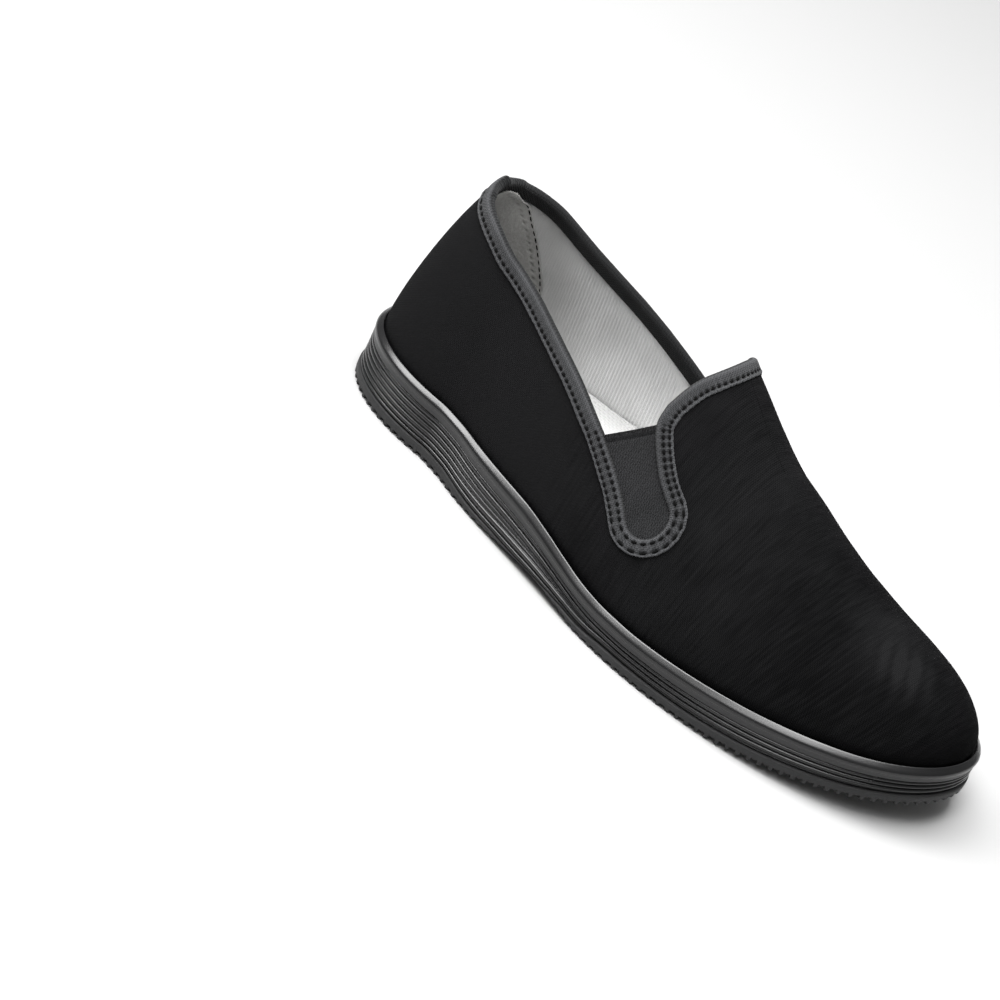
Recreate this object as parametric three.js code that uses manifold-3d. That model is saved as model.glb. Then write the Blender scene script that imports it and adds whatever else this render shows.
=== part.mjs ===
// A chinese cloth shoe for the right foot: a black canvas slip-on with two elastic gores,
// a folded tape binding round the whole topline and a ribbed moulded rubber sole.
// Millimetres. +X is towards the toe, +Y towards the inner side of the foot, +Z up.
import * as THREE from 'three';
import { mergeVertices } from 'three/addons/utils/BufferGeometryUtils.js';
import Module from 'manifold-3d';

const wasm = await Module();
wasm.setup();

// Driving sizes of the last
const lastLength = 273;
const heelRoundLength = 47.8;
const toeRoundLength = 107.6;
const heelWidth = 61.8;
const ballWidth = 102.5;
const ballLateralShare = 0.53;
const collarHeight = 93;
const instepHeight = 94;
const toeHeight = 48;

// How full the last is: powers of its plan at the heel and of its cross-sections
const heelPlanPower = 2.2;
const sideRoundness = 1.86;
const toeRoundness = 2.88;
const crownRoundness = 1.51;

// Sizes of the sole
const heelThickness = 23.6;
const forefootThickness = 15.2;
const archRise = 3.3;
const toeSpring = 12.8;
const lipWidth = 2.5;
const grooveDepth = 0.9;
const treadFlare = 0.6;
const lugDepth = 1.6;
const treadRim = 6;
const zigzagWidth = 8;
const zigzagPitch = 17;
const zigzagRise = 9;
const zigzagColumns = 6;

// Shares of the sole: the tread's part of its height, then places along the last where
// the heel's tread ends, the forefoot's tread begins and the toe starts to rise
const treadShare = 0.26;
const heelTreadEnd = 0.27;
const frontTreadStart = 0.52;
const toeRiseStart = 0.66;

// Sizes of the cloth pieces
const clothWall = 2;
const lastingDepth = 2;
const insoleThickness = 4;
const insoleClearance = 0.9;
const bindingWidth = 6.3;
const tapeThickness = 0.9;
const goreWidth = 14.4;
const goreThickness = 1.2;
const gap = 0.3;

// Mesh steps along each half of the outline: heel round, side, toe round
const heelSteps = 8;
const sideSteps = 10;
const toeSteps = 12;
const toplineSteps = 66;

// Places worked out from the sizes
const heelCentre = heelRoundLength;
const ballCentre = lastLength - toeRoundLength;
const ballLateral = ballWidth * ballLateralShare;
const ballMedial = ballWidth - ballLateral;
const toeRise = toeRiseStart * lastLength;
const toeTip = lastLength + lipWidth + treadFlare;
const tipMargin = heelRoundLength / 3;
const cutterHalfWidth = ballWidth;
const cutterTop = 2 * instepHeight;

// Side widths from the heel centre to the ball centre: 0 is the heel's half width, 1 the ball's
const planRows = [
  { along: 0.000, lateral: 0.000, medial: 0.000 },
  { along: 0.104, lateral: 0.088, medial: 0.033 },
  { along: 0.214, lateral: 0.267, medial: 0.095 },
  { along: 0.308, lateral: 0.400, medial: 0.159 },
  { along: 0.486, lateral: 0.604, medial: 0.367 },
  { along: 0.648, lateral: 0.786, medial: 0.630 },
  { along: 0.810, lateral: 0.928, medial: 0.871 },
  { along: 1.000, lateral: 1.000, medial: 1.000 },
];

// The last's profile. along: share of the length. seat: 0 forefoot thickness, 1 heel thickness.
// crown: height that the section would reach on its middle line, 0 toeHeight, 1 instepHeight.
const profileRows = [
  { along: 0.000, seat: 1.02, crown: 1.724 },
  { along: 0.170, seat: 0.97, crown: 1.724 },
  { along: 0.275, seat: 0.92, crown: 1.724 },
  { along: 0.366, seat: 0.85, crown: 1.515 },
  { along: 0.421, seat: 0.63, crown: 1.300 },
  { along: 0.458, seat: 0.40, crown: 1.148 },
  { along: 0.506, seat: 0.13, crown: 0.937 },
  { along: 0.549, seat: 0.01, crown: 0.732 },
  { along: 0.586, seat: 0.01, crown: 0.567 },
  { along: 0.641, seat: 0.07, crown: 0.379 },
  { along: 0.696, seat: 0.167, crown: 0.210 },
  { along: 0.751, seat: 0.227, crown: 0.108 },
  { along: 0.806, seat: 0.240, crown: 0.075 },
  { along: 0.861, seat: 0.200, crown: 0.105 },
  { along: 0.916, seat: 0.100, crown: 0.183 },
  { along: 0.960, seat: 0.037, crown: 0.286 },
  { along: 1.000, seat: -0.006, crown: 0.416 },
];

// How far the sole's underside is lifted between heel and ball: share of archRise
const archRows = [
  { along: 0.000, rise: 0.00 },
  { along: 0.256, rise: 0.00 },
  { along: 0.366, rise: 0.62 },
  { along: 0.430, rise: 1.00 },
  { along: 0.490, rise: 0.62 },
  { along: 0.525, rise: 0.16 },
  { along: 0.549, rise: 0.00 },
  { along: 1.000, rise: 0.00 },
];

// The ribbed side above the tread. height: share from the tread's top to the lip.
// inset: share of grooveDepth, below 0 where the lip's bead stands out.
const ribRows = [
  { height: 0.000, inset: 1.0 },
  { height: 0.065, inset: 1.0 },
  { height: 0.095, inset: 0.0 },
  { height: 0.165, inset: 0.0 },
  { height: 0.190, inset: 1.0 },
  { height: 0.235, inset: 1.0 },
  { height: 0.260, inset: 0.0 },
  { height: 0.325, inset: 0.0 },
  { height: 0.350, inset: 1.0 },
  { height: 0.405, inset: 1.0 },
  { height: 0.430, inset: 0.0 },
  { height: 0.505, inset: 0.0 },
  { height: 0.530, inset: 1.0 },
  { height: 0.580, inset: 1.0 },
  { height: 0.610, inset: 0.3 },
  { height: 0.790, inset: 0.3 },
  { height: 0.840, inset: -0.4 },
  { height: 0.940, inset: -0.4 },
  { height: 0.985, inset: 0.3 },
];

// The collar's line in side view, from behind the heel to the back of the gore:
// shares of lastLength and collarHeight
const collarRows = [
  { along: -0.060, height: 1.025 },
  { along: 0.060, height: 1.014 },
  { along: 0.080, height: 0.993 },
  { along: 0.124, height: 0.956 },
  { along: 0.168, height: 0.909 },
  { along: 0.230, height: 0.859 },
  { along: 0.289, height: 0.810 },
  { along: 0.344, height: 0.752 },
  { along: 0.4135, height: 0.656 },
];

// The gore's rounded foot: its centre as shares of lastLength and collarHeight, its arc in
// degrees, and the length of the bend into it as a share of its radius
const goreFoot = { along: 0.524, height: 0.524, from: 225, to: 409, bend: 1.5 };

// The front edge of the gore and the throat up to the ridge of the instep:
// shares of lastLength and instepHeight
const throatRows = [
  { along: 0.5030, height: 0.653 },
  { along: 0.4650, height: 0.768 },
  { along: 0.4575, height: 0.843 },
  { along: 0.4590, height: 0.884 },
  { along: 0.4630, height: 0.936 },
  { along: 0.4690, height: 0.976 },
  { along: 0.4805, height: 1.020 },
  { along: 0.5000, height: 1.100 },
];

// Levels of the last from its bottom edge (1) to its crown (0)
const levels = [1, 0.985, 0.95, 0.9, 0.82, 0.72, 0.6, 0.46, 0.3, 0.15, 0];

// Smooth line through one column of a table, without overshoot between its rows
function column(rows, name) {
  const xs = rows.map((row) => row.along);
  const ys = rows.map((row) => row[name]);
  const steps = xs.slice(1).map((x, i) => x - xs[i]);
  const slopes = steps.map((step, i) => (ys[i + 1] - ys[i]) / step);
  const tangents = xs.map((_, i) => {
    if (i === 0 || i === xs.length - 1) return 0;
    if (slopes[i - 1] * slopes[i] <= 0) return 0;
    const before = 2 * steps[i] + steps[i - 1];
    const after = steps[i] + 2 * steps[i - 1];
    return (before + after) / (before / slopes[i - 1] + after / slopes[i]);
  });
  return (x) => {
    if (x <= xs[0]) return ys[0];
    if (x >= xs[xs.length - 1]) return ys[ys.length - 1];
    const i = xs.findIndex((value, k) => x < xs[k + 1]);
    const t = (x - xs[i]) / steps[i];
    const rise = ys[i + 1] - ys[i];
    const start = tangents[i] * steps[i];
    const end = tangents[i + 1] * steps[i];
    return ys[i] + t * (start + t * (3 * rise - 2 * start - end + t * (start + end - 2 * rise)));
  };
}

const lateralShare = column(planRows, 'lateral');
const medialShare = column(planRows, 'medial');
const seatShare = column(profileRows, 'seat');
const crownShare = column(profileRows, 'crown');
const archShare = column(archRows, 'rise');

// Lift of the underside off the floor: the arch, then the toe spring
function groundLift(x) {
  const beyond = Math.max(0, (x - toeRise) / (toeTip - toeRise));
  return archRise * archShare(x / lastLength) + toeSpring * beyond ** 2;
}

// Height of the edge where the cloth meets the sole
function featherHeight(x) {
  const beyond = Math.max(0, (x - toeRise) / (toeTip - toeRise));
  const seat = seatShare(x / lastLength);
  return forefootThickness + (heelThickness - forefootThickness) * seat + toeSpring * beyond ** 2;
}

// Height that the last's cross-section would reach on its middle line
function crownHeight(x) {
  return toeHeight + (instepHeight - toeHeight) * crownShare(x / lastLength);
}

// A place on the outline. s runs 0..1 round the heel, 1..2 along the side, 2..3 round the toe
function rimPoint(s, side) {
  const ballHalf = side < 0 ? ballLateral : ballMedial;
  if (s <= 1) {
    const turn = (s * Math.PI) / 2;
    const x = heelCentre - heelRoundLength * Math.cos(turn) ** (2 / heelPlanPower);
    const y = (heelWidth / 2) * Math.sin(turn) ** (2 / heelPlanPower);
    return { x, y: side * y, baseX: heelCentre };
  }
  if (s <= 2) {
    const share = (side < 0 ? lateralShare : medialShare)(s - 1);
    const x = heelCentre + (ballCentre - heelCentre) * (s - 1);
    return { x, y: side * (heelWidth / 2 + (ballHalf - heelWidth / 2) * share), baseX: x };
  }
  const turn = ((3 - s) * Math.PI) / 2;
  const x = ballCentre + toeRoundLength * Math.cos(turn);
  return { x, y: side * ballHalf * Math.sin(turn), baseX: ballCentre };
}

// Level outward direction of the outline at a place
function rimOutward(s, side) {
  if (s === 0) return { x: -1, y: 0 };
  if (s === 3) return { x: 1, y: 0 };
  const step = 0.01;
  const before = rimPoint(Math.max(0, s - step), side);
  const after = rimPoint(Math.min(3, s + step), side);
  const length = Math.hypot(after.x - before.x, after.y - before.y);
  return { x: (-side * (after.y - before.y)) / length, y: (side * (after.x - before.x)) / length };
}

// All the places round the outline, outer side first, from the heel to the toe and back
function outlineStations() {
  const counts = [heelSteps, sideSteps, toeSteps];
  const halves = counts.flatMap((count, part) => (
    Array.from({ length: count }, (_, i) => part + i / count)
  ));
  const lateral = halves.map((s) => ({ s, side: -1 }));
  const medial = [...halves.slice(1), 3].reverse().map((s) => ({ s, side: 1 }));
  return [...lateral, ...medial];
}

const stations = outlineStations();

// A point of the last: level 1 is the bottom edge, level 0 the middle line of the crown
function lastPoint(s, side, level) {
  const rim = rimPoint(s, side);
  const x = rim.baseX + level * (rim.x - rim.baseX);
  const forward = THREE.MathUtils.clamp((rim.x - ballCentre) / toeRoundLength, 0, 1);
  const roundness = sideRoundness + (toeRoundness - sideRoundness) * forward;
  const climb = (1 - level ** roundness) ** (1 / crownRoundness);
  const foot = featherHeight(rim.x);
  return new THREE.Vector3(x, level * rim.y, foot + (crownHeight(x) - foot) * climb);
}

// Outward direction of the last's surface
function lastNormal(s, side, level) {
  if (level === 1) {
    const outward = rimOutward(s, side);
    return new THREE.Vector3(outward.x, outward.y, 0);
  }
  const step = 0.01;
  if (level === 0) {
    const x = rimPoint(s, side).baseX;
    const slope = (crownHeight(x + step) - crownHeight(x - step)) / (2 * step);
    return new THREE.Vector3(-slope, 0, 1).normalize();
  }
  const low = lastPoint(s, side, level + step / 2);
  const high = lastPoint(s, side, level - step / 2);
  const back = lastPoint(Math.max(0, s - step), side, level);
  const front = lastPoint(Math.min(3, s + step), side, level);
  const up = high.sub(low);
  const along = s === 0 || s === 3 ? new THREE.Vector3(0, s === 0 ? -1 : 1, 0) : front.sub(back);
  const turn = s === 0 || s === 3 ? 1 : -side;
  return along.cross(up).multiplyScalar(turn).normalize();
}

// One closed loop of points, one for each station
function ring(pointAt) {
  return stations.map(({ s, side }) => pointAt(s, side));
}

// A loop folded flat onto the middle line, which closes a form with level lines across the shoe
function middleRing(heightAt) {
  return ring((s, side) => {
    const x = THREE.MathUtils.clamp(rimPoint(s, side).x, tipMargin, lastLength - tipMargin);
    return new THREE.Vector3(x, 0, heightAt(x));
  });
}

// A loop beside the outline, moved outward in plan
function outlineRing(outward, heightAt) {
  return ring((s, side) => {
    const rim = rimPoint(s, side);
    const out = rimOutward(s, side);
    const point = new THREE.Vector3(rim.x + out.x * outward, rim.y + out.y * outward, 0);
    point.z = heightAt(rim.x);
    return point;
  });
}

// Skin over a stack of loops, from the middle of the underside round to the middle of the top
function formFromRings(rings) {
  const around = stations.length;
  const positions = rings.flat().flatMap((point) => point.toArray());
  const index = [];
  for (let level = 0; level < rings.length - 1; level += 1) {
    for (let i = 0; i < around; i += 1) {
      const a = level * around + i;
      const b = level * around + ((i + 1) % around);
      index.push(a, b, b + around, a, b + around, a + around);
    }
  }
  const geometry = new THREE.BufferGeometry();
  geometry.setAttribute('position', new THREE.Float32BufferAttribute(positions, 3));
  geometry.setIndex(index);
  return solidFrom(geometry);
}

// A closed solid for cutting and joining, from any closed geometry
function solidFrom(geometry) {
  const plain = geometry.clone();
  plain.deleteAttribute('normal');
  plain.deleteAttribute('uv');
  const merged = mergeVertices(plain, 0.001);
  const index = merged.index.array;
  const kept = [];
  for (let i = 0; i < index.length; i += 3) {
    const [a, b, c] = [index[i], index[i + 1], index[i + 2]];
    if (a !== b && b !== c && c !== a) kept.push(a, b, c);
  }
  return new wasm.Manifold(new wasm.Mesh({
    numProp: 3,
    vertProperties: Float32Array.from(merged.attributes.position.array),
    triVerts: Uint32Array.from(kept),
  }));
}

// The last grown outward by an offset, reaching below its bottom edge
function lastForm(offset, below) {
  const bottom = (x) => featherHeight(x) - below;
  const walls = levels.map((level) => ring((s, side) => (
    lastPoint(s, side, level).addScaledVector(lastNormal(s, side, level), offset)
  )));
  return formFromRings([middleRing(bottom), outlineRing(offset, bottom), ...walls]);
}

// The topline in side view: collar, round the gore's foot, and up the throat
function toplinePath() {
  const path = new THREE.Path();
  const collar = collarRows.map((row) => (
    new THREE.Vector2(row.along * lastLength, row.height * collarHeight)
  ));
  path.moveTo(collar[0].x, collar[0].y);
  path.splineThru(collar.slice(1));
  const radius = goreWidth / 2;
  const from = THREE.MathUtils.degToRad(goreFoot.from);
  const to = THREE.MathUtils.degToRad(goreFoot.to);
  const centre = new THREE.Vector2(goreFoot.along * lastLength, goreFoot.height * collarHeight);
  const start = new THREE.Vector2(Math.cos(from), Math.sin(from)).multiplyScalar(radius).add(centre);
  const pull = new THREE.Vector2(Math.sin(from), -Math.cos(from)).multiplyScalar(goreFoot.bend * radius);
  path.quadraticCurveTo(start.x + pull.x, start.y + pull.y, start.x, start.y);
  path.absarc(centre.x, centre.y, radius, from, to, false);
  path.splineThru(throatRows.map((row) => (
    new THREE.Vector2(row.along * lastLength, row.height * instepHeight)
  )));
  return path.getSpacedPoints(toplineSteps);
}

const topline = toplinePath();

// The topline moved into the cloth, or out of it where the distance is below 0
function toplineInset(distance) {
  return topline.map((point, i) => {
    const before = topline[Math.max(0, i - 1)];
    const after = topline[Math.min(topline.length - 1, i + 1)];
    const tangent = after.clone().sub(before).normalize();
    return new THREE.Vector2(point.x + tangent.y * distance, point.y - tangent.x * distance);
  });
}

// A cutter: an outline in side view, drawn out across the shoe between two sides
function sideCutter(points, fromY, toY) {
  const geometry = new THREE.ExtrudeGeometry(new THREE.Shape(points), {
    depth: toY - fromY,
    bevelEnabled: false,
    steps: 1,
  });
  geometry.rotateX(Math.PI / 2);
  geometry.translate(0, toY, 0);
  return solidFrom(geometry);
}

// Everything above the topline, less an inset
function aboveTopline(distance) {
  const edge = toplineInset(distance);
  const last = edge[edge.length - 1];
  const corners = [new THREE.Vector2(last.x, cutterTop), new THREE.Vector2(edge[0].x, cutterTop)];
  return sideCutter([...edge, ...corners], -cutterHalfWidth, cutterHalfWidth);
}

// The band between two insets of the topline
function toplineBand(near, far) {
  const edge = [...toplineInset(near), ...toplineInset(far).reverse()];
  return sideCutter(edge, -cutterHalfWidth, cutterHalfWidth);
}

// The canvas upper with its lining: one wall, open at the topline and underneath
function makeUpper() {
  const wall = lastForm(0, lastingDepth).subtract(lastForm(-clothWall, 2 * lastingDepth));
  return wall.subtract(aboveTopline(tapeThickness + gap));
}

// The tape folded over the whole topline, as a U round the edge of the wall
function makeBinding() {
  const outer = lastForm(gap + tapeThickness, 0);
  const inner = lastForm(-clothWall - gap - tapeThickness, lastingDepth);
  const folded = outer.subtract(inner).intersect(toplineBand(0, bindingWidth));
  const slot = lastForm(gap, 0).subtract(lastForm(-clothWall - gap, lastingDepth));
  return folded.subtract(slot.intersect(toplineBand(tapeThickness, 2 * bindingWidth)));
}

// The elastic gore on one side, set in the middle of the wall inside the binding's notch
function makeGore(side) {
  const skin = (clothWall - goreThickness) / 2;
  const panel = lastForm(-skin, 0).subtract(lastForm(skin - clothWall, lastingDepth));
  const inner = toplineInset(-gap);
  const corner = new THREE.Vector2(throatRows[1].along * lastLength, throatRows[1].height * instepHeight);
  const back = collarRows[collarRows.length - 1];
  const hinge = new THREE.Vector2(back.along * lastLength, back.height * collarHeight);
  const nearest = (target) => topline.reduce((best, point, i) => (
    point.distanceTo(target) < topline[best].distanceTo(target) ? i : best
  ), 0);
  const notch = inner.slice(nearest(hinge), nearest(corner) + 1);
  const [fromY, toY] = side < 0 ? [-cutterHalfWidth, 0] : [0, cutterHalfWidth];
  return panel.intersect(sideCutter(notch, fromY, toY));
}

// The footbed inside the upper
function makeInsole() {
  const outward = -clothWall - insoleClearance;
  const bottom = (x) => featherHeight(x) - lastingDepth;
  const top = (x) => bottom(x) + insoleThickness;
  return formFromRings([
    middleRing(bottom),
    outlineRing(outward, bottom),
    outlineRing(outward, top),
    middleRing(top),
  ]);
}

// Height of the joint between the tread and the ribbed unit above it
function treadTop(x) {
  return groundLift(x) + treadShare * (featherHeight(x) - groundLift(x));
}

// The ribbed sole unit: grooved side, rounded lip, and the well that takes the upper
function makeMidsole() {
  const bottom = (x) => treadTop(x) + gap;
  const ribs = ribRows.map(({ height, inset }) => outlineRing(
    lipWidth - inset * grooveDepth,
    (x) => bottom(x) + height * (featherHeight(x) - bottom(x)),
  ));
  const floor = (x) => featherHeight(x) - lastingDepth - gap;
  return formFromRings([
    middleRing(bottom),
    ...ribs,
    outlineRing(lipWidth / 2, featherHeight),
    outlineRing(gap, (x) => featherHeight(x) - gap),
    outlineRing(gap, floor),
    middleRing(floor),
  ]);
}

// One zigzag bar across the tread, as wide as the shoe, centred on a place along it
function zigzagBar(x) {
  const half = cutterHalfWidth / 2;
  const points = Array.from({ length: zigzagColumns + 1 }, (_, i) => new THREE.Vector2(
    x + (i % 2 === 0 ? -zigzagRise / 2 : zigzagRise / 2),
    -half + (2 * half * i) / zigzagColumns,
  ));
  const front = points.map((point) => new THREE.Vector2(point.x + zigzagWidth, point.y));
  const shape = new THREE.Shape([...points, ...front.reverse()]);
  const geometry = new THREE.ExtrudeGeometry(shape, { depth: cutterTop, bevelEnabled: false });
  geometry.translate(0, 0, -cutterTop / 2);
  return solidFrom(geometry);
}

// The hollow of the tread between its rim and its bars, over one stretch of the sole
function treadHollow(fromX, toX, barStarts) {
  const top = (x) => groundLift(x) + lugDepth;
  const below = () => -lugDepth;
  const basin = formFromRings([
    middleRing(below),
    outlineRing(lipWidth - treadRim, below),
    outlineRing(lipWidth - treadRim, top),
    middleRing(top),
  ]);
  const stretch = new THREE.BoxGeometry(toX - fromX, 2 * cutterHalfWidth, cutterTop);
  stretch.translate((fromX + toX) / 2, 0, 0);
  const hollow = basin.intersect(solidFrom(stretch));
  return barStarts.reduce((rest, x) => rest.subtract(zigzagBar(x)), hollow);
}

// The tread: a plate with a flat rim, zigzag bars at heel and forefoot and a plain waist
function makeOutsole() {
  const outward = lipWidth + treadFlare;
  const plate = formFromRings([
    middleRing(groundLift),
    outlineRing(outward, groundLift),
    outlineRing(outward, treadTop),
    middleRing(treadTop),
  ]);
  const barsBetween = (fromX, count) => (
    Array.from({ length: count }, (_, i) => fromX + zigzagPitch * (i + 0.5))
  );
  const heelEnd = heelTreadEnd * lastLength;
  const frontStart = frontTreadStart * lastLength;
  const heelBars = barsBetween(treadRim, Math.floor((heelEnd - treadRim) / zigzagPitch));
  const frontBars = barsBetween(frontStart, Math.floor((lastLength - treadRim - frontStart) / zigzagPitch));
  return plate.subtract(treadHollow(0, heelEnd, heelBars))
    .subtract(treadHollow(frontStart, lastLength, frontBars));
}

// A named mesh with its own material
function meshOf(name, solid, color, roughness) {
  const { vertProperties, triVerts } = solid.getMesh();
  const geometry = new THREE.BufferGeometry();
  geometry.setAttribute('position', new THREE.Float32BufferAttribute(vertProperties, 3));
  geometry.setIndex(Array.from(triVerts));
  geometry.computeVertexNormals();
  const material = new THREE.MeshStandardMaterial({ color, roughness, metalness: 0 });
  const mesh = new THREE.Mesh(geometry, material);
  mesh.name = name;
  return mesh;
}

// The shoe, with its origin on the floor under the middle of its box
const shoe = new THREE.Group();
shoe.add(
  meshOf('outsole', makeOutsole(), 0x1c1c1d, 0.5),
  meshOf('midsole', makeMidsole(), 0x161617, 0.3),
  meshOf('insole', makeInsole(), 0xc9c8c4, 0.95),
  meshOf('upper', makeUpper(), 0x1a1b1c, 0.95),
  meshOf('gore_lateral', makeGore(-1), 0x232427, 0.9),
  meshOf('gore_medial', makeGore(1), 0x232427, 0.9),
  meshOf('edge_binding', makeBinding(), 0x2a2b2d, 0.85),
);
shoe.position.set(-lastLength / 2, (ballLateral - ballMedial) / 2, 0);

export default shoe;
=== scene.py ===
# A black canvas slip-on shoe for the right foot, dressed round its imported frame.
# The shoe's own sizes are in millimetres, from the back of the last and its middle line:
# +X towards the toe, +Y towards the inner side of the foot, +Z up.
import math

import bmesh
import bpy
import numpy as np
from mathutils import Matrix, Vector


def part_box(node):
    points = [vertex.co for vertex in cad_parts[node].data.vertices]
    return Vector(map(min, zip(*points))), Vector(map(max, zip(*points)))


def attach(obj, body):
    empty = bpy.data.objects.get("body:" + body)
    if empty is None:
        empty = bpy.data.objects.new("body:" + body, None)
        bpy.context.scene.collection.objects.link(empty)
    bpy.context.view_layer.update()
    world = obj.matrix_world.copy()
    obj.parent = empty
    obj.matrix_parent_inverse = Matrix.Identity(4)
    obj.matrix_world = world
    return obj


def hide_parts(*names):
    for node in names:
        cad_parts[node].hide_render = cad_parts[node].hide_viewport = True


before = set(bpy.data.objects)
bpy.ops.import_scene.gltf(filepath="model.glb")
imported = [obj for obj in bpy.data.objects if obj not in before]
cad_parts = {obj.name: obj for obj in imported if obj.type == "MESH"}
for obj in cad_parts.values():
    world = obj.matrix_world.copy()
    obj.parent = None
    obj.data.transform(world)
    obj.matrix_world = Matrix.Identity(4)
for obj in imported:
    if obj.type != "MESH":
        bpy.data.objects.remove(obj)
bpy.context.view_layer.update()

# The sole's ribbed side. It is one rubber moulding with the tread: a round lip that grips
# the cloth, a plain band, and fine ribs that lie close together at the ball and fan out
# over the heel. It is glossy where it left the polished mould.
MM = 0.001
upper_low, upper_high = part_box("upper")
outer_share = 0.53
last_length = (upper_high.x - upper_low.x) / MM
ball_width = (upper_high.y - upper_low.y) / MM
ball_outer = outer_share * ball_width
ball_inner = ball_width - ball_outer
frame_origin = np.array([upper_low.x / MM, upper_low.y / MM + ball_outer, 0.0])

heel_round = 47.8
toe_round = 107.6
heel_half = 30.9
heel_power = 2.2
ball_x = last_length - toe_round
heel_sole = 23.6
ball_sole = 15.2
arch_rise = 3.3
toe_spring = 12.8
toe_rise_x = 0.66 * last_length
lip_width = 2.5
tread_width = 3.1
sole_tip = last_length + tread_width

PLAN = {
    "along": [0, 0.104, 0.214, 0.308, 0.486, 0.648, 0.81, 1],
    "outer": [0, 0.088, 0.267, 0.4, 0.604, 0.786, 0.928, 1],
    "inner": [0, 0.033, 0.095, 0.159, 0.367, 0.63, 0.871, 1],
}
SEAT = {
    "along": [0, 0.17, 0.275, 0.366, 0.421, 0.458, 0.506, 0.549, 0.586, 0.641,
              0.696, 0.751, 0.806, 0.861, 0.916, 0.96, 1],
    "seat": [1.02, 0.97, 0.92, 0.85, 0.63, 0.4, 0.13, 0.01, 0.01, 0.07,
             0.167, 0.227, 0.24, 0.2, 0.1, 0.037, -0.006],
}
ARCH = {
    "along": [0, 0.256, 0.366, 0.43, 0.49, 0.525, 0.549, 1],
    "rise": [0, 0, 0.62, 1, 0.62, 0.16, 0, 0],
}


def column(table, name):
    """A smooth line through one column of a table against its places along the shoe. Between
    two rows it is the cubic whose slopes are harmonic means, so it never overshoots."""
    at = np.array(table["along"], float)
    value = np.array(table[name], float)
    step = np.diff(at)
    slope = np.diff(value) / step
    tangent = np.zeros(len(at))
    rising = slope[:-1] * slope[1:] > 0
    before = 2 * step[1:] + step[:-1]
    after = step[1:] + 2 * step[:-1]
    safe = np.where(rising, slope[:-1], 1), np.where(rising, slope[1:], 1)
    tangent[1:-1] = np.where(rising, (before + after) / (before / safe[0] + after / safe[1]), 0)

    def line(x):
        x = np.clip(x, at[0], at[-1])
        i = np.clip(np.searchsorted(at, x, side="right") - 1, 0, len(step) - 1)
        t = (x - at[i]) / step[i]
        rise = value[i + 1] - value[i]
        start = tangent[i] * step[i]
        end = tangent[i + 1] * step[i]
        curve = 3 * rise - 2 * start - end + t * (start + end - 2 * rise)
        return value[i] + t * (start + t * curve)

    return line


outer_line = column(PLAN, "outer")
inner_line = column(PLAN, "inner")
seat_line = column(SEAT, "seat")
arch_line = column(ARCH, "rise")


def spring(x):
    """Lift of the toe: the toe spring times the square of the share from where it starts."""
    return toe_spring * np.clip((x - toe_rise_x) / (sole_tip - toe_rise_x), 0, 2) ** 2


def floor_lift(x):
    """Height of the sole's underside: the arch between heel and ball, then the toe's lift."""
    return arch_rise * arch_line(x / last_length) + spring(x)


def feather(x):
    """Height of the edge where cloth meets sole: the sole's thickness plus the toe's lift."""
    return ball_sole + (heel_sole - ball_sole) * seat_line(x / last_length) + spring(x)


def around(turn):
    """A place round the outline, 0 to 6 from the heel by the outer side to the toe and back
    by the inner side, as (place 0 to 3 on its half, side -1 outer or 1 inner)."""
    turn = np.asarray(turn, float) % 6
    return np.where(turn <= 3, turn, 6 - turn), np.where(turn <= 3, -1.0, 1.0)


def rim(turn):
    """The last's outline: a superellipse round the heel, the plan table along the side, and
    an ellipse round the toe. Also gives the place on the middle line that each point faces."""
    s, side = around(turn)
    heel_angle = np.clip(s, 0, 1) * math.pi / 2
    toe_angle = np.clip(3 - s, 0, 1) * math.pi / 2
    ball_half = np.where(side < 0, ball_outer, ball_inner)
    along = np.clip(s - 1, 0, 1)
    share = np.where(side < 0, outer_line(along), inner_line(along))
    heel_x = heel_round * (1 - np.abs(np.cos(heel_angle)) ** (2 / heel_power))
    heel_y = heel_half * np.abs(np.sin(heel_angle)) ** (2 / heel_power)
    side_x = heel_round + (ball_x - heel_round) * along
    side_y = heel_half + (ball_half - heel_half) * share
    toe_x = ball_x + toe_round * np.cos(toe_angle)
    toe_y = ball_half * np.sin(toe_angle)
    x = np.select([s <= 1, s <= 2], [heel_x, side_x], toe_x)
    y = np.select([s <= 1, s <= 2], [heel_y, side_y], toe_y)
    base = np.select([s <= 1, s <= 2], [np.full_like(x, heel_round), side_x], ball_x)
    return x, side * y, base


def run_length(*axes):
    """Distance along a line of points from its first, from its coordinates axis by axis."""
    return np.concatenate([[0], np.cumsum(np.linalg.norm(np.diff(axes), axis=0))])


def outline(count):
    """Turns evenly spaced by length round the outline, starting at the back of the heel."""
    fine = np.linspace(0, 6, 6001)
    length = run_length(*rim(fine)[:2])
    return np.interp(np.arange(count) / count * length[-1], length, fine)


def beside(turn, outward):
    """The outline moved outward in plan by a distance, square to itself."""
    step = 0.004
    ax, ay, _ = rim(turn - step)
    bx, by, _ = rim(turn + step)
    length = np.hypot(bx - ax, by - ay)
    x, y, _ = rim(turn)
    return x + outward * (by - ay) / length, y - outward * (bx - ax) / length


def grid_faces(rows, columns, close_columns=True):
    """Four-cornered faces of a grid stored row by row, closed into a ring across its columns."""
    last = columns if close_columns else columns - 1
    row, col = np.meshgrid(np.arange(rows - 1), np.arange(last), indexing="ij")
    right = (col + 1) % columns
    here, above = row * columns, (row + 1) * columns
    return np.stack([here + col, here + right, above + right, above + col], -1).reshape(-1, 4)


def to_frame(points):
    """Millimetres of the shoe to metres of the frame."""
    return (np.asarray(points) + frame_origin) * MM


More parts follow.
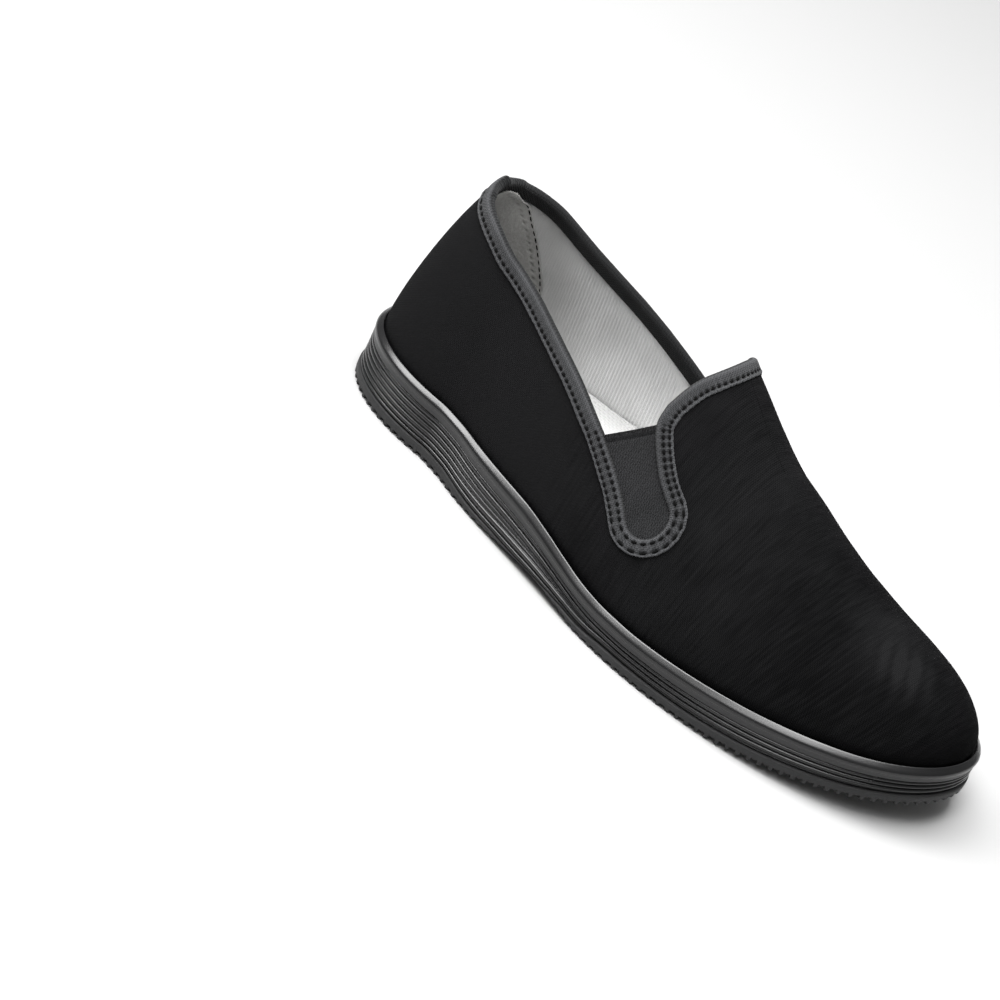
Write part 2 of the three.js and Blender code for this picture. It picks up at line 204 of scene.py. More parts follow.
def new_piece(name, points, faces, uv=None, masks=None, closed=True):
    """A smooth piece from points and four-cornered faces, riding on the shoe, with a flat
    map in metres for its weave and named masks from 0 to 1 for its finish."""
    mesh = bpy.data.meshes.new(name)
    mesh.vertices.add(len(points))
    mesh.vertices.foreach_set("co", to_frame(points).astype(np.float32).ravel())
    mesh.loops.add(faces.size)
    mesh.loops.foreach_set("vertex_index", faces.astype(np.int32).ravel())
    mesh.polygons.add(len(faces))
    mesh.polygons.foreach_set("loop_start", np.arange(len(faces), dtype=np.int32) * 4)
    mesh.update(calc_edges=True)
    if uv is not None:
        layer = mesh.uv_layers.new(name="cloth")
        layer.data.foreach_set("uv", uv[faces.ravel()].astype(np.float32).ravel())
    for mask, value in (masks or {}).items():
        layer = mesh.attributes.new(mask, "FLOAT", "POINT")
        layer.data.foreach_set("value", value.astype(np.float32))
    return seat_piece(mesh, name, closed)


def seat_piece(mesh, name, closed=True):
    """Merges the doubled points of a mesh, turns a closed one outwards, smooths it and puts it
    on the shoe."""
    shell = bmesh.new()
    shell.from_mesh(mesh)
    bmesh.ops.remove_doubles(shell, verts=shell.verts, dist=0.002 * MM)
    if closed:
        bmesh.ops.recalc_face_normals(shell, faces=shell.faces)
    shell.to_mesh(mesh)
    shell.free()
    mesh.validate()
    mesh.shade_smooth()
    piece = bpy.data.objects.new(name, mesh)
    bpy.context.scene.collection.objects.link(piece)
    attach(piece, "root")
    return piece


# Each rib at the ball, the waist and the heel: its upper and lower edge as shares of the
# side's height below the lip's top, and how far it stands out of its groove. Then the
# place where the tread's band starts.
RIBS = [
    ((0.345, 0.435, 1.0), (0.33, 0.41, 1.0), (0.245, 0.32, 1.0)),
    ((0.462, 0.552, 1.0), (0.455, 0.535, 1.0), (0.345, 0.42, 1.0)),
    ((0.565, 0.567, 0.0), (0.60, 0.64, 0.4), (0.445, 0.52, 0.95)),
    ((0.570, 0.572, 0.0), (0.67, 0.71, 0.4), (0.545, 0.615, 0.95)),
    ((0.580, 0.675, 1.0), (0.745, 0.835, 1.1), (0.64, 0.705, 1.0)),
    ((0.730, 0.732, 0.1), (0.885, 0.97, 1.0), (0.73, 0.785, 1.0)),
]
TREAD_TOP = (0.745, 0.985, 0.80)
groove_depth = 1.0
rib_round = [(0.0, 0.0), (0.04, 0.35), (0.12, 0.62), (0.26, 0.86), (0.42, 0.97),
             (0.58, 1.0), (0.74, 0.93), (0.88, 0.68), (0.96, 0.36), (1.0, 0.0)]
WAIST_PLACES = {
    "along": [0, 0.20, 0.33, 0.43, 0.50, 0.585, 1],
    "heel": [1, 1, 0.42, 0, 0, 0, 0],
    "ball": [0, 0, 0, 0.05, 0.45, 1, 1],
}
heel_share = column(WAIST_PLACES, "heel")
ball_share = column(WAIST_PLACES, "ball")


def blend_places(x, ball, waist, heel):
    """A value at the ball, waist and heel, blended along the shoe by the two place lines."""
    to_heel = heel_share(x / last_length)
    to_ball = ball_share(x / last_length)
    return ball * to_ball + heel * to_heel + waist * (1 - to_ball - to_heel)


def side_height(x, drop):
    """Height of a place on the sole's side, from its share of drop below the lip's top."""
    return feather(x) + (floor_lift(x) - feather(x)) * drop


side_turns = outline(560)
side_x = rim(side_turns)[0]


def side_rows(rows):
    """Points of the sole's side from rows of (drop, outward), each an array round the shoe."""
    points = []
    for drop, outward in rows:
        x, y = beside(side_turns, outward)
        points.append(np.stack([x, y, side_height(side_x, drop)], -1))
    return np.concatenate(points)


ones = np.ones_like(side_x)


def to_middle(ring, height, shares):
    """Rows that run from a ring of points in to the middle line of the shoe, each a share of
    the way, with their height worked out from how far along the shoe they are."""
    middle_x = np.clip(ring[:, 0], heel_round / 3, last_length - heel_round / 3)
    rows = []
    for share in shares:
        x = ring[:, 0] + (middle_x - ring[:, 0]) * share
        rows.append(np.stack([x, ring[:, 1] * (1 - share), height(x)], -1))
    return rows


lip_profile = [(0.16, 0.22), (0.04, 0.25), (0.0, 0.36), (-0.012, 0.5), (-0.008, 0.72), (0.008, 1.05),
               (0.026, 1.4), (0.044, 1.75), (0.063, 2.1), (0.084, 2.44), (0.112, 2.7), (0.15, 2.82),
               (0.19, 2.76)]
well_depth = 2.3
lip_drop = blend_places(side_x, 1.0, 1.05, 0.62)
ribbed_rows = [(drop * lip_drop, out * ones) for drop, out in lip_profile]
band_end = blend_places(side_x, *(place[0] for place in RIBS[0]))
band_start = lip_profile[-1][0] * lip_drop
ribbed_rows += [(band_start + (band_end - band_start) * t, out * ones)
                for t, out in ((0.18, 2.55), (0.4, 2.44), (0.62, 2.42), (0.8, 2.46), (0.9, 2.4))]
ribbed_rows += [(band_end - 0.012, 2.2 * ones), (band_end - 0.008, (lip_width - groove_depth) * ones)]
for rib in RIBS:
    top, bottom, stand = (blend_places(side_x, *places) for places in zip(*rib))
    ribbed_rows += [(top + (bottom - top) * t, lip_width - groove_depth + groove_depth * stand * raised)
                    for t, raised in rib_round]
tread_top = blend_places(side_x, *TREAD_TOP)
ribbed_rows += [(tread_top - 0.004, (lip_width - groove_depth) * ones), (tread_top - 0.004, -2.0 * ones)]

side_ring = side_rows(ribbed_rows).reshape(len(ribbed_rows), -1, 3)
well_ring = side_ring[0] * [1, 1, 0] + np.stack([0 * ones, 0 * ones, feather(side_x) - well_depth], -1)
well_rows = to_middle(well_ring, lambda x: feather(x) - well_depth, (1, 0.6, 0))
under_rows = to_middle(side_ring[-1], lambda x: side_height(x, 0.745), (0.5, 1))
ribbed_points = np.concatenate([*well_rows, *side_ring, *under_rows])
ribbed_count = len(well_rows) + len(side_ring) + len(under_rows)
band_rows = np.zeros(ribbed_count)
band_rows[len(well_rows) + len(lip_profile):][:6] = 1
midsole = new_piece("ribbed_side", ribbed_points, grid_faces(ribbed_count, len(side_turns)),
                    masks={"matte": np.repeat(0.4 * band_rows, len(side_turns))})
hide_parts("midsole")


def socket_value(tree, socket, value):
    """Gives a socket a link or a plain value."""
    if isinstance(value, bpy.types.NodeSocket):
        tree.links.new(value, socket)
    else:
        socket.default_value = value


def add_node(tree, kind, inputs=None, **settings):
    """A shader node with its settings and its inputs, which are values or other sockets."""
    made = tree.nodes.new(kind)
    for name, value in settings.items():
        setattr(made, name, value)
    for name, value in (inputs or {}).items():
        socket_value(tree, made.inputs[name], value)
    return made


def maths(tree, operation, first, second=0.0, third=0.0):
    """One sum on two or three values or sockets."""
    return add_node(tree, "ShaderNodeMath", {0: first, 1: second, 2: third}, operation=operation).outputs[0]


def blend_colours(tree, share, first, second):
    """A colour between two, by a share from 0 to 1."""
    mixed = add_node(tree, "ShaderNodeMix", data_type="RGBA")
    socket_value(tree, mixed.inputs[0], share)
    socket_value(tree, mixed.inputs[6], first)
    socket_value(tree, mixed.inputs[7], second)
    return mixed.outputs[2]


def new_group(name, inputs, outputs):
    """An empty node group with named inputs and outputs, as (tree, input node, output node)."""
    tree = bpy.data.node_groups.new(name, "ShaderNodeTree")
    for label, kind, value in inputs:
        made = tree.interface.new_socket(name=label, in_out="INPUT", socket_type=kind)
        if value is not None:
            made.default_value = value
    for label, kind in outputs:
        tree.interface.new_socket(name=label, in_out="OUTPUT", socket_type=kind)
    return tree, tree.nodes.new("NodeGroupInput"), tree.nodes.new("NodeGroupOutput")


def new_material(name, roughness, specular=0.5):
    """An empty material with its shader, as (material, tree, shader)."""
    made = bpy.data.materials.new(name)
    made.use_nodes = True
    shader = made.node_tree.nodes["Principled BSDF"]
    shader.inputs["Roughness"].default_value = roughness
    shader.inputs["Specular IOR Level"].default_value = specular
    return made, made.node_tree, shader


# Grain: fine pits and a slow unevenness, as on moulded rubber and rubbed cloth
grain_group, grain_in, grain_out = new_group(
    "grain", [("Vector", "NodeSocketVector", None), ("Grains per metre", "NodeSocketFloat", 2500.0)],
    [("Fine", "NodeSocketFloat"), ("Slow", "NodeSocketFloat")])
fine_grain = add_node(grain_group, "ShaderNodeTexNoise", {
    "Vector": grain_in.outputs["Vector"], "Scale": grain_in.outputs["Grains per metre"],
    "Detail": 2.0, "Roughness": 0.6})
slow_grain = add_node(grain_group, "ShaderNodeTexNoise", {
    "Vector": grain_in.outputs["Vector"], "Scale": 38.0, "Detail": 3.0, "Roughness": 0.55})
grain_group.links.new(fine_grain.outputs[0], grain_out.inputs["Fine"])
grain_group.links.new(slow_grain.outputs[0], grain_out.inputs["Slow"])


def place_group(tree, group, inputs):
    """A node group in a material, with its own inputs."""
    made = tree.nodes.new("ShaderNodeGroup")
    made.node_tree = group
    for name, value in inputs.items():
        socket_value(tree, made.inputs[name], value)
    return made.outputs


def make_rubber(name, matte_roughness, gloss_roughness):
    """Black rubber, glossy where its matte mask is 0 and grainy where it is 1."""
    made, tree, shader = new_material(name, gloss_roughness, 0.55)
    place = add_node(tree, "ShaderNodeTexCoord").outputs["Object"]
    matte = add_node(tree, "ShaderNodeAttribute", attribute_name="matte").outputs["Fac"]
    grain = place_group(tree, grain_group, {"Vector": place, "Grains per metre": 2600.0})
    wear = maths(tree, "MULTIPLY_ADD", grain["Slow"], 0.14, gloss_roughness - 0.07)
    rough = maths(tree, "MULTIPLY_ADD", matte, matte_roughness - gloss_roughness, wear)
    tree.links.new(rough, shader.inputs["Roughness"])
    colour = blend_colours(tree, grain["Slow"], (0.004, 0.004, 0.0043, 1), (0.009, 0.009, 0.0095, 1))
    dusty = maths(tree, "MULTIPLY", matte, maths(tree, "MULTIPLY", grain["Fine"], 0.8))
    colour = blend_colours(tree, dusty, colour, (0.011, 0.011, 0.0115, 1))
    tree.links.new(colour, shader.inputs["Base Color"])
    height = maths(tree, "MULTIPLY", grain["Fine"], maths(tree, "MULTIPLY_ADD", matte, 1.0, 0.06))
    bump = add_node(tree, "ShaderNodeBump", {"Height": height, "Strength": 0.55, "Distance": 0.00035})
    tree.links.new(bump.outputs[0], shader.inputs["Normal"])
    return made


rubber = make_rubber("rubber_black", 0.62, 0.26)
midsole.data.materials.append(rubber)

# The tread. It is the same rubber, left matte: a band whose lower edge is notched between
# the lugs, a flat rim, zigzag bars at heel and ball, small blunt studs between them, and
# fine slanted ribs in three lanes under the waist. The badge places are plain.
tread_turns = outline(1150)
tread_x = rim(tread_turns)[0]
tread_length = run_length(*beside(tread_turns, tread_width))
lug_pitch = 4.1
lug_notch = 1.5
lug_depth = 1.6
tread_rim = 6.0
grounded = blend_places(tread_x, 1.0, 0.0, 1.0)
lug_wave = np.clip(1.6 * np.cos(2 * math.pi * tread_length / lug_pitch) + 0.55, 0, 1) * grounded
tread_start = blend_places(tread_x, *TREAD_TOP)
band_width = blend_places(tread_x, tread_width, lip_width - 0.3, tread_width)

TREAD_BAND = [(0.0, -2.2, 0.0), (0.0, -0.9, 0.0), (0.04, -0.2, 0.0), (0.12, 0.0, 0.0), (0.35, 0.0, 0.0),
              (0.60, -0.02, 0.0), (0.68, -0.03, 0.7), (0.80, -0.05, 1.0), (0.92, -0.1, 1.0),
              (1.0, -0.3, 1.0)]
tread_rows = []
for share, inward, notched in TREAD_BAND:
    drop = tread_start + (1 - tread_start) * share
    x, y = beside(tread_turns, band_width + inward - lug_notch * notched * lug_wave)
    tread_rows.append(np.stack([x, y, side_height(tread_x, drop)], -1))
x, y = beside(tread_turns, band_width - 1.3 - 0.4 * lug_notch * lug_wave)
tread_rows.append(np.stack([x, y, floor_lift(tread_x)], -1))
for inset, depth in ((band_width - tread_rim, 0.0), (band_width - tread_rim - 0.4, lug_depth)):
    x, y = beside(tread_turns, inset)
    tread_rows.append(np.stack([x, y, floor_lift(tread_x) + depth], -1))
tread_rows += to_middle(tread_rows[-1], lambda x: floor_lift(x) + lug_depth, (0.4, 0.8, 1))
tread_rows = to_middle(tread_rows[0], lambda x: side_height(x, 0.78), (1, 0.5)) + tread_rows
tread_points = [np.concatenate(tread_rows)]
tread_faces = [grid_faces(len(tread_rows), len(tread_turns))]


def half_width(x, side):
    """Distance from the middle line to the outline on one side, -1 outer or 1 inner."""
    turns = np.linspace(0, 3, 1201) if side < 0 else 6 - np.linspace(0, 3, 1201)
    outline_x, outline_y, _ = rim(turns)
    return np.interp(x, outline_x, np.abs(outline_y))


def add_blocks(base, top, faces_each):
    """Adds many small blocks of the tread: base and top rings of points, block by block."""
    count, corners, _ = base.shape
    offset = sum(len(points) for points in tread_points)
    tread_points.append(np.concatenate([base, top], 1).reshape(-1, 3))
    starts = offset + np.arange(count)[:, None, None] * 2 * corners
    tread_faces.append((starts + faces_each[None]).reshape(-1, 4))


def ring_block(corners):
    """Faces of a block with that many corners: its sides, then its top folded into quads."""
    i = np.arange(corners)
    sides = np.stack([i, (i + 1) % corners, corners + (i + 1) % corners, corners + i], -1)
    top = [[corners, corners + k, corners + k + 1, corners + k + 2] for k in range(1, corners - 2, 2)]
    return np.concatenate([sides, np.array(top)])


zigzag_pitch = 17.0
zigzag_width = 8.0
zigzag_rise = 9.0
zigzag_lane = ball_width / 6
bar_steps = 49
heel_bars = 14.5 + zigzag_pitch * np.arange(3)
ball_bars = 0.52 * last_length + zigzag_pitch * (0.5 + np.arange(6))
for start in np.concatenate([heel_bars, ball_bars]):
    middle = start + zigzag_width / 2
    low = -half_width(middle, -1) - band_width[0] + tread_rim + 2.6
    high = half_width(middle, 1) + band_width[0] - tread_rim - 2.6
    across = np.linspace(low, high, bar_steps)
    zigzag = zigzag_rise * (np.abs((across / zigzag_lane) % 2 - 1) - 0.5)
    inset = np.stack([0 * across + 0.3, 0 * across, 0 * across, 0 * across + 0.3], -1)
    shares = np.array([0.0, 0.06, 0.94, 1.0])
    x = start + zigzag[:, None] + zigzag_width * shares
    depth = np.where((shares > 0.01) & (shares < 0.99), 0.02, lug_depth + 0.3)
    points = np.stack([x, across[:, None] + 0 * x, floor_lift(x) + depth], -1)
    offset = sum(len(block) for block in tread_points)
    ends = points[[0, -1]].copy()
    ends[:, :, 2] = floor_lift(ends[:, :, 0]) + lug_depth + 0.3
    bar = np.concatenate([ends[:1], points, ends[1:]])
    tread_points.append(bar.reshape(-1, 3))
    tread_faces.append(offset + grid_faces(len(bar), 4))

stud_pitch = 3.1
stud_x, stud_y = np.meshgrid(np.arange(4, last_length, stud_pitch), np.arange(-60, 60, stud_pitch))
stud_y = stud_y + stud_pitch / 2 * (np.round(stud_x / stud_pitch) % 2)
stud_x, stud_y = stud_x.ravel(), stud_y.ravel()
room = np.where(stud_y < 0, half_width(stud_x, -1), half_width(stud_x, 1)) + 2.0 - tread_rim
zigzag = zigzag_rise * (np.abs((stud_y / zigzag_lane) % 2 - 1) - 0.5)
clear = np.abs(stud_y) < room
clear &= (stud_x < 0.262 * last_length) | (stud_x > 0.53 * last_length)
clear &= (stud_x > 9) & (stud_x < last_length - 9)
for start in np.concatenate([heel_bars, ball_bars]):
    clear &= (stud_x < start + zigzag - 1.3) | (stud_x > start + zigzag + zigzag_width + 1.3)
stud_x, stud_y = stud_x[clear], stud_y[clear]


def at_height(rings, height):
    """Rings of points in plan, each ring set at its own height."""
    return np.concatenate([rings, height[:, None, None] + 0 * rings[..., :1]], -1)


stud_turn = np.arange(6) * math.pi / 3
stud_base = 1.05 * np.stack([np.cos(stud_turn), np.sin(stud_turn)], -1)
toe_stud = (stud_x > 0.87 * last_length)[:, None, None]
stud_base = np.where(toe_stud, 1.45, 1.0) * stud_base
stud_taper = np.where(toe_stud, 0.15, 0.62)
centre = np.stack([stud_x, stud_y], -1)[:, None]
stud_low = at_height(centre + stud_base, floor_lift(stud_x) + lug_depth + 0.2)
stud_top = at_height(centre + stud_taper * stud_base, floor_lift(stud_x) + 0.35)
add_blocks(stud_low, stud_top, ring_block(6))

rib_pitch = 2.3
waist_start, waist_end = 0.29 * last_length, 0.505 * last_length
lanes = [(-1.0, -0.36, 1), (-0.32, 0.32, -1), (0.36, 1.0, 1)]
for lane_low, lane_high, slant in lanes:
    rib_x = np.arange(waist_start, waist_end, rib_pitch)
    reach_low = np.where(lane_low < 0, half_width(rib_x, -1), half_width(rib_x, 1)) - 5
    reach_high = np.where(lane_high < 0, half_width(rib_x, -1), half_width(rib_x, 1)) - 5
    y0, y1 = lane_low * reach_low, lane_high * reach_high
    shift = slant * 0.8 * (y1 - y0) / 2
    corners = ((-1, -1), (1, -1), (1, 1), (-1, 1))
    corner_x = np.stack([rib_x + shift * lean + 0.6 * wide for lean, wide in corners], -1)
    corner_y = np.stack([y0, y1, y1, y0], -1)
    inside_waist = (corner_x.min(-1) > waist_start - 4) & (corner_x.max(-1) < waist_end + 4)
    corner_x, corner_y = corner_x[inside_waist], corner_y[inside_waist]
    low_ring = np.stack([corner_x, corner_y, floor_lift(corner_x) + lug_depth + 0.2], -1)
    narrow = np.array([0.3, 0.3, -0.3, -0.3])
    high_ring = np.stack([corner_x + narrow, corner_y, floor_lift(corner_x) + 0.8], -1)
    add_blocks(low_ring, high_ring, ring_block(4))

tread_mask = np.ones(sum(len(points) for points in tread_points))
outsole = new_piece("tread", np.concatenate(tread_points), np.concatenate(tread_faces),
                    masks={"matte": tread_mask})
outsole.data.set_sharp_from_angle(angle=math.radians(36))
outsole.data.materials.append(rubber)
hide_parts("outsole")

# The upper. It is black plain-woven canvas drawn over the last in one piece from heel to
# toe, with its lower edge held behind the sole's lip. It hangs smoothly, with faint drag
# lines at the gore and over the heel.
side_round = 1.86
toe_fullness = 2.88
crown_round = 1.51
toe_height = 48.0
instep_height = 94.0
collar_height = 93.0
cloth_wall = 2.0
canvas_thick = 0.8
CROWN = {
    "along": SEAT["along"],
    "crown": [1.724, 1.724, 1.724, 1.515, 1.3, 1.148, 0.937, 0.732, 0.567, 0.379,
              0.21, 0.108, 0.075, 0.105, 0.183, 0.286, 0.416],
}
crown_line = column(CROWN, "crown")


def crown(x):
    """Height that the last's cross-section reaches on its middle line."""
    return toe_height + (instep_height - toe_height) * crown_line(x / last_length)


def fullness(rim_x):
    """How square the cross-section is: rounder at the sides, fuller towards the tip."""
    return side_round + (toe_fullness - side_round) * np.clip((rim_x - ball_x) / toe_round, 0, 1)


def on_last(turn, climb):
    """A point of the last. climb runs from 0 at the sole to 1 on the middle line, as the
    share of a quarter turn whose sine gives the height and cosine the distance out. Below 0
    it is millimetres under the sole's edge."""
    rim_x, rim_y, base = rim(turn)
    angle = np.clip(climb, 0, 1) * math.pi / 2
    level = np.cos(angle) ** (2 / fullness(rim_x))
    x = base + level * (rim_x - base)
    foot = feather(rim_x)
    z = foot + (crown(x) - foot) * np.sin(angle) ** (2 / crown_round) + np.minimum(climb, 0)
    return np.stack([x, level * rim_y, z], -1)


def depth_in(points):
    """Above 0 inside the last, 0 on it, below 0 outside: one less the share out to the
    outline and less the share up to the crown, each to its own power."""
    x, y, z = np.moveaxis(points, -1, 0)
    ball_half = np.where(y < 0, ball_outer, ball_inner)
    along = np.clip((x - heel_round) / (ball_x - heel_round), 0, 1)
    share = np.where(y < 0, outer_line(along), inner_line(along))
    side_half = heel_half + (ball_half - heel_half) * share
    out_toe = np.hypot((x - ball_x) / toe_round, y / ball_half)
    out_heel = (np.abs((x - heel_round) / heel_round) ** heel_power + np.abs(y / heel_half) ** heel_power)
    out_heel = out_heel ** (1 / heel_power)
    out = np.select([x < heel_round, x < ball_x], [out_heel, np.abs(y) / side_half], out_toe)
    safe = np.maximum(out, 1e-6)
    rim_x = np.select([x < heel_round, x < ball_x],
                      [heel_round + (x - heel_round) / safe, x], ball_x + (x - ball_x) / safe)
    foot = feather(np.clip(rim_x, -5, last_length + 5))
    up = np.maximum((z - foot) / (crown(x) - foot), 0)
    return 1 - out ** fullness(rim_x) - up ** crown_round


def slope_of(points, step=0.05):
    """How fast depth_in grows along each axis."""
    axes = np.eye(3) * step
    return np.stack([(depth_in(points + axis) - depth_in(points - axis)) / (2 * step) for axis in axes], -1)


def outward(points):
    """Direction square out of the last."""
    slope = slope_of(points)
    return -slope / np.linalg.norm(slope, axis=-1, keepdims=True)


def onto_last(points):
    """Points moved square onto the last, in four Newton steps."""
    for _ in range(4):
        slope = slope_of(points)
        points = points - slope * (depth_in(points) / (slope ** 2).sum(-1))[..., None]
    return points


COLLAR = {
    "along": [-0.06, 0.06, 0.08, 0.124, 0.168, 0.23, 0.289, 0.344, 0.4135],
    "height": [1.025, 1.014, 0.993, 0.956, 0.909, 0.859, 0.81, 0.752, 0.656],
}
THROAT = {
    "along": [0.503, 0.465, 0.4575, 0.459, 0.463, 0.469, 0.4805, 0.5],
    "height": [0.653, 0.768, 0.843, 0.884, 0.936, 0.976, 1.02, 1.1],
}
gore_foot = np.array([0.524 * last_length, 0.524 * collar_height])
gore_radius = 7.2
gore_arc = np.radians([225, 409])


def through(points, steps=14):
    """A smooth line through points in side view: each stretch is the cubic whose end slopes
    are half the step between its neighbours."""
    points = np.asarray(points, float)
    padded = np.concatenate([points[:1], points, points[-1:]])
    p0, p1, p2, p3 = padded[:-3, None], padded[1:-2, None], padded[2:-1, None], padded[3:, None]
    t = (np.arange(steps) / steps)[None, :, None]
    v1, v2 = (p2 - p0) / 2, (p3 - p1) / 2
    line = (2 * p1 - 2 * p2 + v1 + v2) * t ** 3 + (-3 * p1 + 3 * p2 - 2 * v1 - v2) * t ** 2 + v1 * t + p1
    return np.concatenate([line.reshape(-1, 2), points[-1:]])


collar_points = np.array([COLLAR["along"], COLLAR["height"]]).T * [last_length, collar_height]
throat_points = np.array([THROAT["along"], THROAT["height"]]).T * [last_length, instep_height]
arc = np.linspace(*gore_arc, 40)
foot_arc = gore_foot + gore_radius * np.stack([np.cos(arc), np.sin(arc)], -1)
bend = foot_arc[0] + 1.5 * gore_radius * np.array([math.sin(gore_arc[0]), -math.cos(gore_arc[0])])
t = np.linspace(0, 1, 12)[1:-1, None]
entry = (1 - t) ** 2 * collar_points[-1] + 2 * t * (1 - t) * bend + t ** 2 * foot_arc[0]
topline = np.concatenate([through(collar_points), entry, foot_arc[:-1],
                          through(np.concatenate([foot_arc[-1:], throat_points]))])


def from_topline(points):
    """Distance in side view from the topline, above 0 in the cloth and below 0 in the opening."""
    spot = points[..., [0, 2]]
    nearest = np.full(spot.shape[:-1], 1e9)
    signed = np.zeros_like(nearest)
    for start, end in zip(topline[:-1], topline[1:]):
        run = end - start
        share = np.clip(((spot - start) @ run) / (run @ run), 0, 1)
        away = spot - start - share[..., None] * run
        distance = np.hypot(away[..., 0], away[..., 1])
        side = (spot[..., 0] - start[0]) * run[1] - (spot[..., 1] - start[1]) * run[0]
        closer = distance < nearest
        signed = np.where(closer, np.where(side > 0, distance, -distance), signed)
        nearest = np.minimum(nearest, distance)
    return signed


def pattern_places(mesh):
    """The (turn, climb) of each point of a flat pattern."""
    flat = np.zeros(len(mesh.vertices) * 3)
    mesh.vertices.foreach_get("co", flat)
    return flat[0::3], flat[1::3]


def cut_cloth(turns, climbs, margins):
    """A flat pattern of (turn, climb) cut back to where every margin is above 0, as a mesh
    whose points hold the pattern's own two numbers."""
    turn, climb = np.meshgrid(turns, climbs)
    mesh = bpy.data.meshes.new("pattern")
    faces = grid_faces(len(climbs), len(turns), close_columns=False)
    mesh.from_pydata(np.stack([turn.ravel(), climb.ravel(), 0 * turn.ravel()], -1), [], faces.tolist())
    for margin in margins:
        turn, climb = pattern_places(mesh)
        mesh.vertices.foreach_set("co", np.stack([turn, climb, margin(turn, climb)], -1).ravel())
        shape = bmesh.new()
        shape.from_mesh(mesh)
        bmesh.ops.bisect_plane(shape, geom=shape.verts[:] + shape.edges[:] + shape.faces[:], dist=1e-7,
                               plane_co=(0, 0, 0), plane_no=(0, 0, 1), clear_inner=True)
        shape.to_mesh(mesh)
        shape.free()
    return mesh


def weave_map(turn, climb):
    """Where a point lies on the flat cloth, in millimetres: along the shoe, and down from the
    middle line by the length of its own column. Round the toe the columns fan out."""
    steps = np.linspace(0, 1, 25)
    path = climb[:, None] + (1 - climb[:, None]) * steps
    points = on_last(np.repeat(turn[:, None], len(steps), 1), path)
    down = np.linalg.norm(np.diff(points, axis=1), axis=-1).sum(1)
    rim_x, rim_y, base = rim(turn)
    s, side = around(turn)
    fine = np.linspace(0, 1, 400)
    length = run_length(*rim(fine)[:2])
    behind = length[-1] - np.interp(s, fine, length)
    fan = np.arctan2(np.abs(rim_y), rim_x - base)
    along = np.where(s > 2, ball_x + down * np.cos(fan), np.where(s < 1, heel_round - behind, rim_x))
    across = np.where(s > 2, down * np.sin(fan), down)
    return np.stack([along, side * across], -1)


def wrap(mesh, name, offset, relief=None, wall=0.0, tone=None):
    """Lays a cut pattern over the last at a distance out from it, with its relief, and gives
    it a wall inwards where wall is above 0 and outwards where it is below 0."""
    turn, climb = pattern_places(mesh)
    base = on_last(turn, climb)
    out = outward(base)
    raised = offset if relief is None else offset + relief(base, turn, climb)
    points = base + out * np.reshape(raised, (-1, 1) if np.ndim(raised) else (1, 1))
    mesh.vertices.foreach_set("co", to_frame(points).astype(np.float32).ravel())
    corners = np.zeros(len(mesh.loops), np.int32)
    mesh.loops.foreach_get("vertex_index", corners)
    layer = mesh.uv_layers.new(name="cloth")
    layer.data.foreach_set("uv", (weave_map(turn, climb) * MM)[corners].astype(np.float32).ravel())
    if tone is not None:
        shade = mesh.attributes.new("tone", "FLOAT", "POINT")
        shade.data.foreach_set("value", tone(base, turn, climb).astype(np.float32))
    mesh.update(calc_edges=True)
    piece = seat_piece(mesh, name, closed=False)
    if wall:
        thick = piece.modifiers.new("wall", "SOLIDIFY")
        thick.thickness = abs(wall) * MM
        thick.offset = -1 if wall > 0 else 1
        thick.use_rim = True
    return piece


def soft_ridge(distance, width):
    """A soft ridge: 1 on its line, falling off with the square of the distance."""
    return np.exp(-(distance / width) ** 2)


def canvas_relief(points, turn, climb):
    """Height of the canvas over the last: faint drag lines that leave the gore's foot, slow
    ripples over the heel quarter, and small gathers where it goes in behind the lip."""
    x, y, z = points.T
    height = np.zeros_like(x)
    for angle, reach, raised in ((-38, 46, 0.28), (-62, 34, -0.22), (-150, 40, 0.2), (-118, 30, -0.18)):
        along_x, along_z = math.cos(math.radians(angle)), math.sin(math.radians(angle))
        away_x, away_z = x - gore_foot[0], z - gore_foot[1]
        along = away_x * along_x + away_z * along_z - 12
        across = away_x * along_z - away_z * along_x
        fade = np.clip(along / 8, 0, 1) * np.clip(1 - along / reach, 0, 1)
        height += raised * fade * soft_ridge(across, 3.4)
    quarter = soft_ridge(x - 62, 34) * soft_ridge(z - 55, 26)
    height += 0.10 * quarter * np.sin(0.9 * x + 0.45 * z + 1.3 * np.sin(0.11 * z))
    height += 0.16 * np.sin(0.055 * x + 0.5) * np.sin(0.085 * z + 0.04 * x)
    low = np.clip(1 - (z - feather(x)) / 7, 0, 1)
    toe = np.clip((x - 190) / 50, 0, 1)
    height += 0.16 * toe * low * np.sin(58 * turn) - 0.35 * low ** 3
    return height


def canvas_tone(points, turn, climb):
    """Tone of the canvas: lighter where the toe is rubbed and towards the back, and darker
    as painted shade towards the toe, whose top faces the lights, and down at the lip."""
    x, y, z = points.T
    rub = soft_ridge(x - 240, 9) * soft_ridge(y + 10, 8)
    rub = rub * (0.6 + 0.4 * np.sin(x * 0.9 + y * 0.5)) + 0.35 * soft_ridge(x - 228, 16) * soft_ridge(y, 18)
    # Lighter towards the back; darker towards the toe as painted shade, since the toe's top faces the
    # lights.
    lighter_back_shaded_toe = 0.6 * np.clip((130 - x) / 60, 0, 1) - 0.5 * np.clip((x - 165) / 50, 0, 1)
    # The dip at the feather is painted shade where the canvas goes in behind the sole's lip.
    return 1.5 * rub - 0.8 * soft_ridge(z - feather(x), 2.2) + lighter_back_shaded_toe


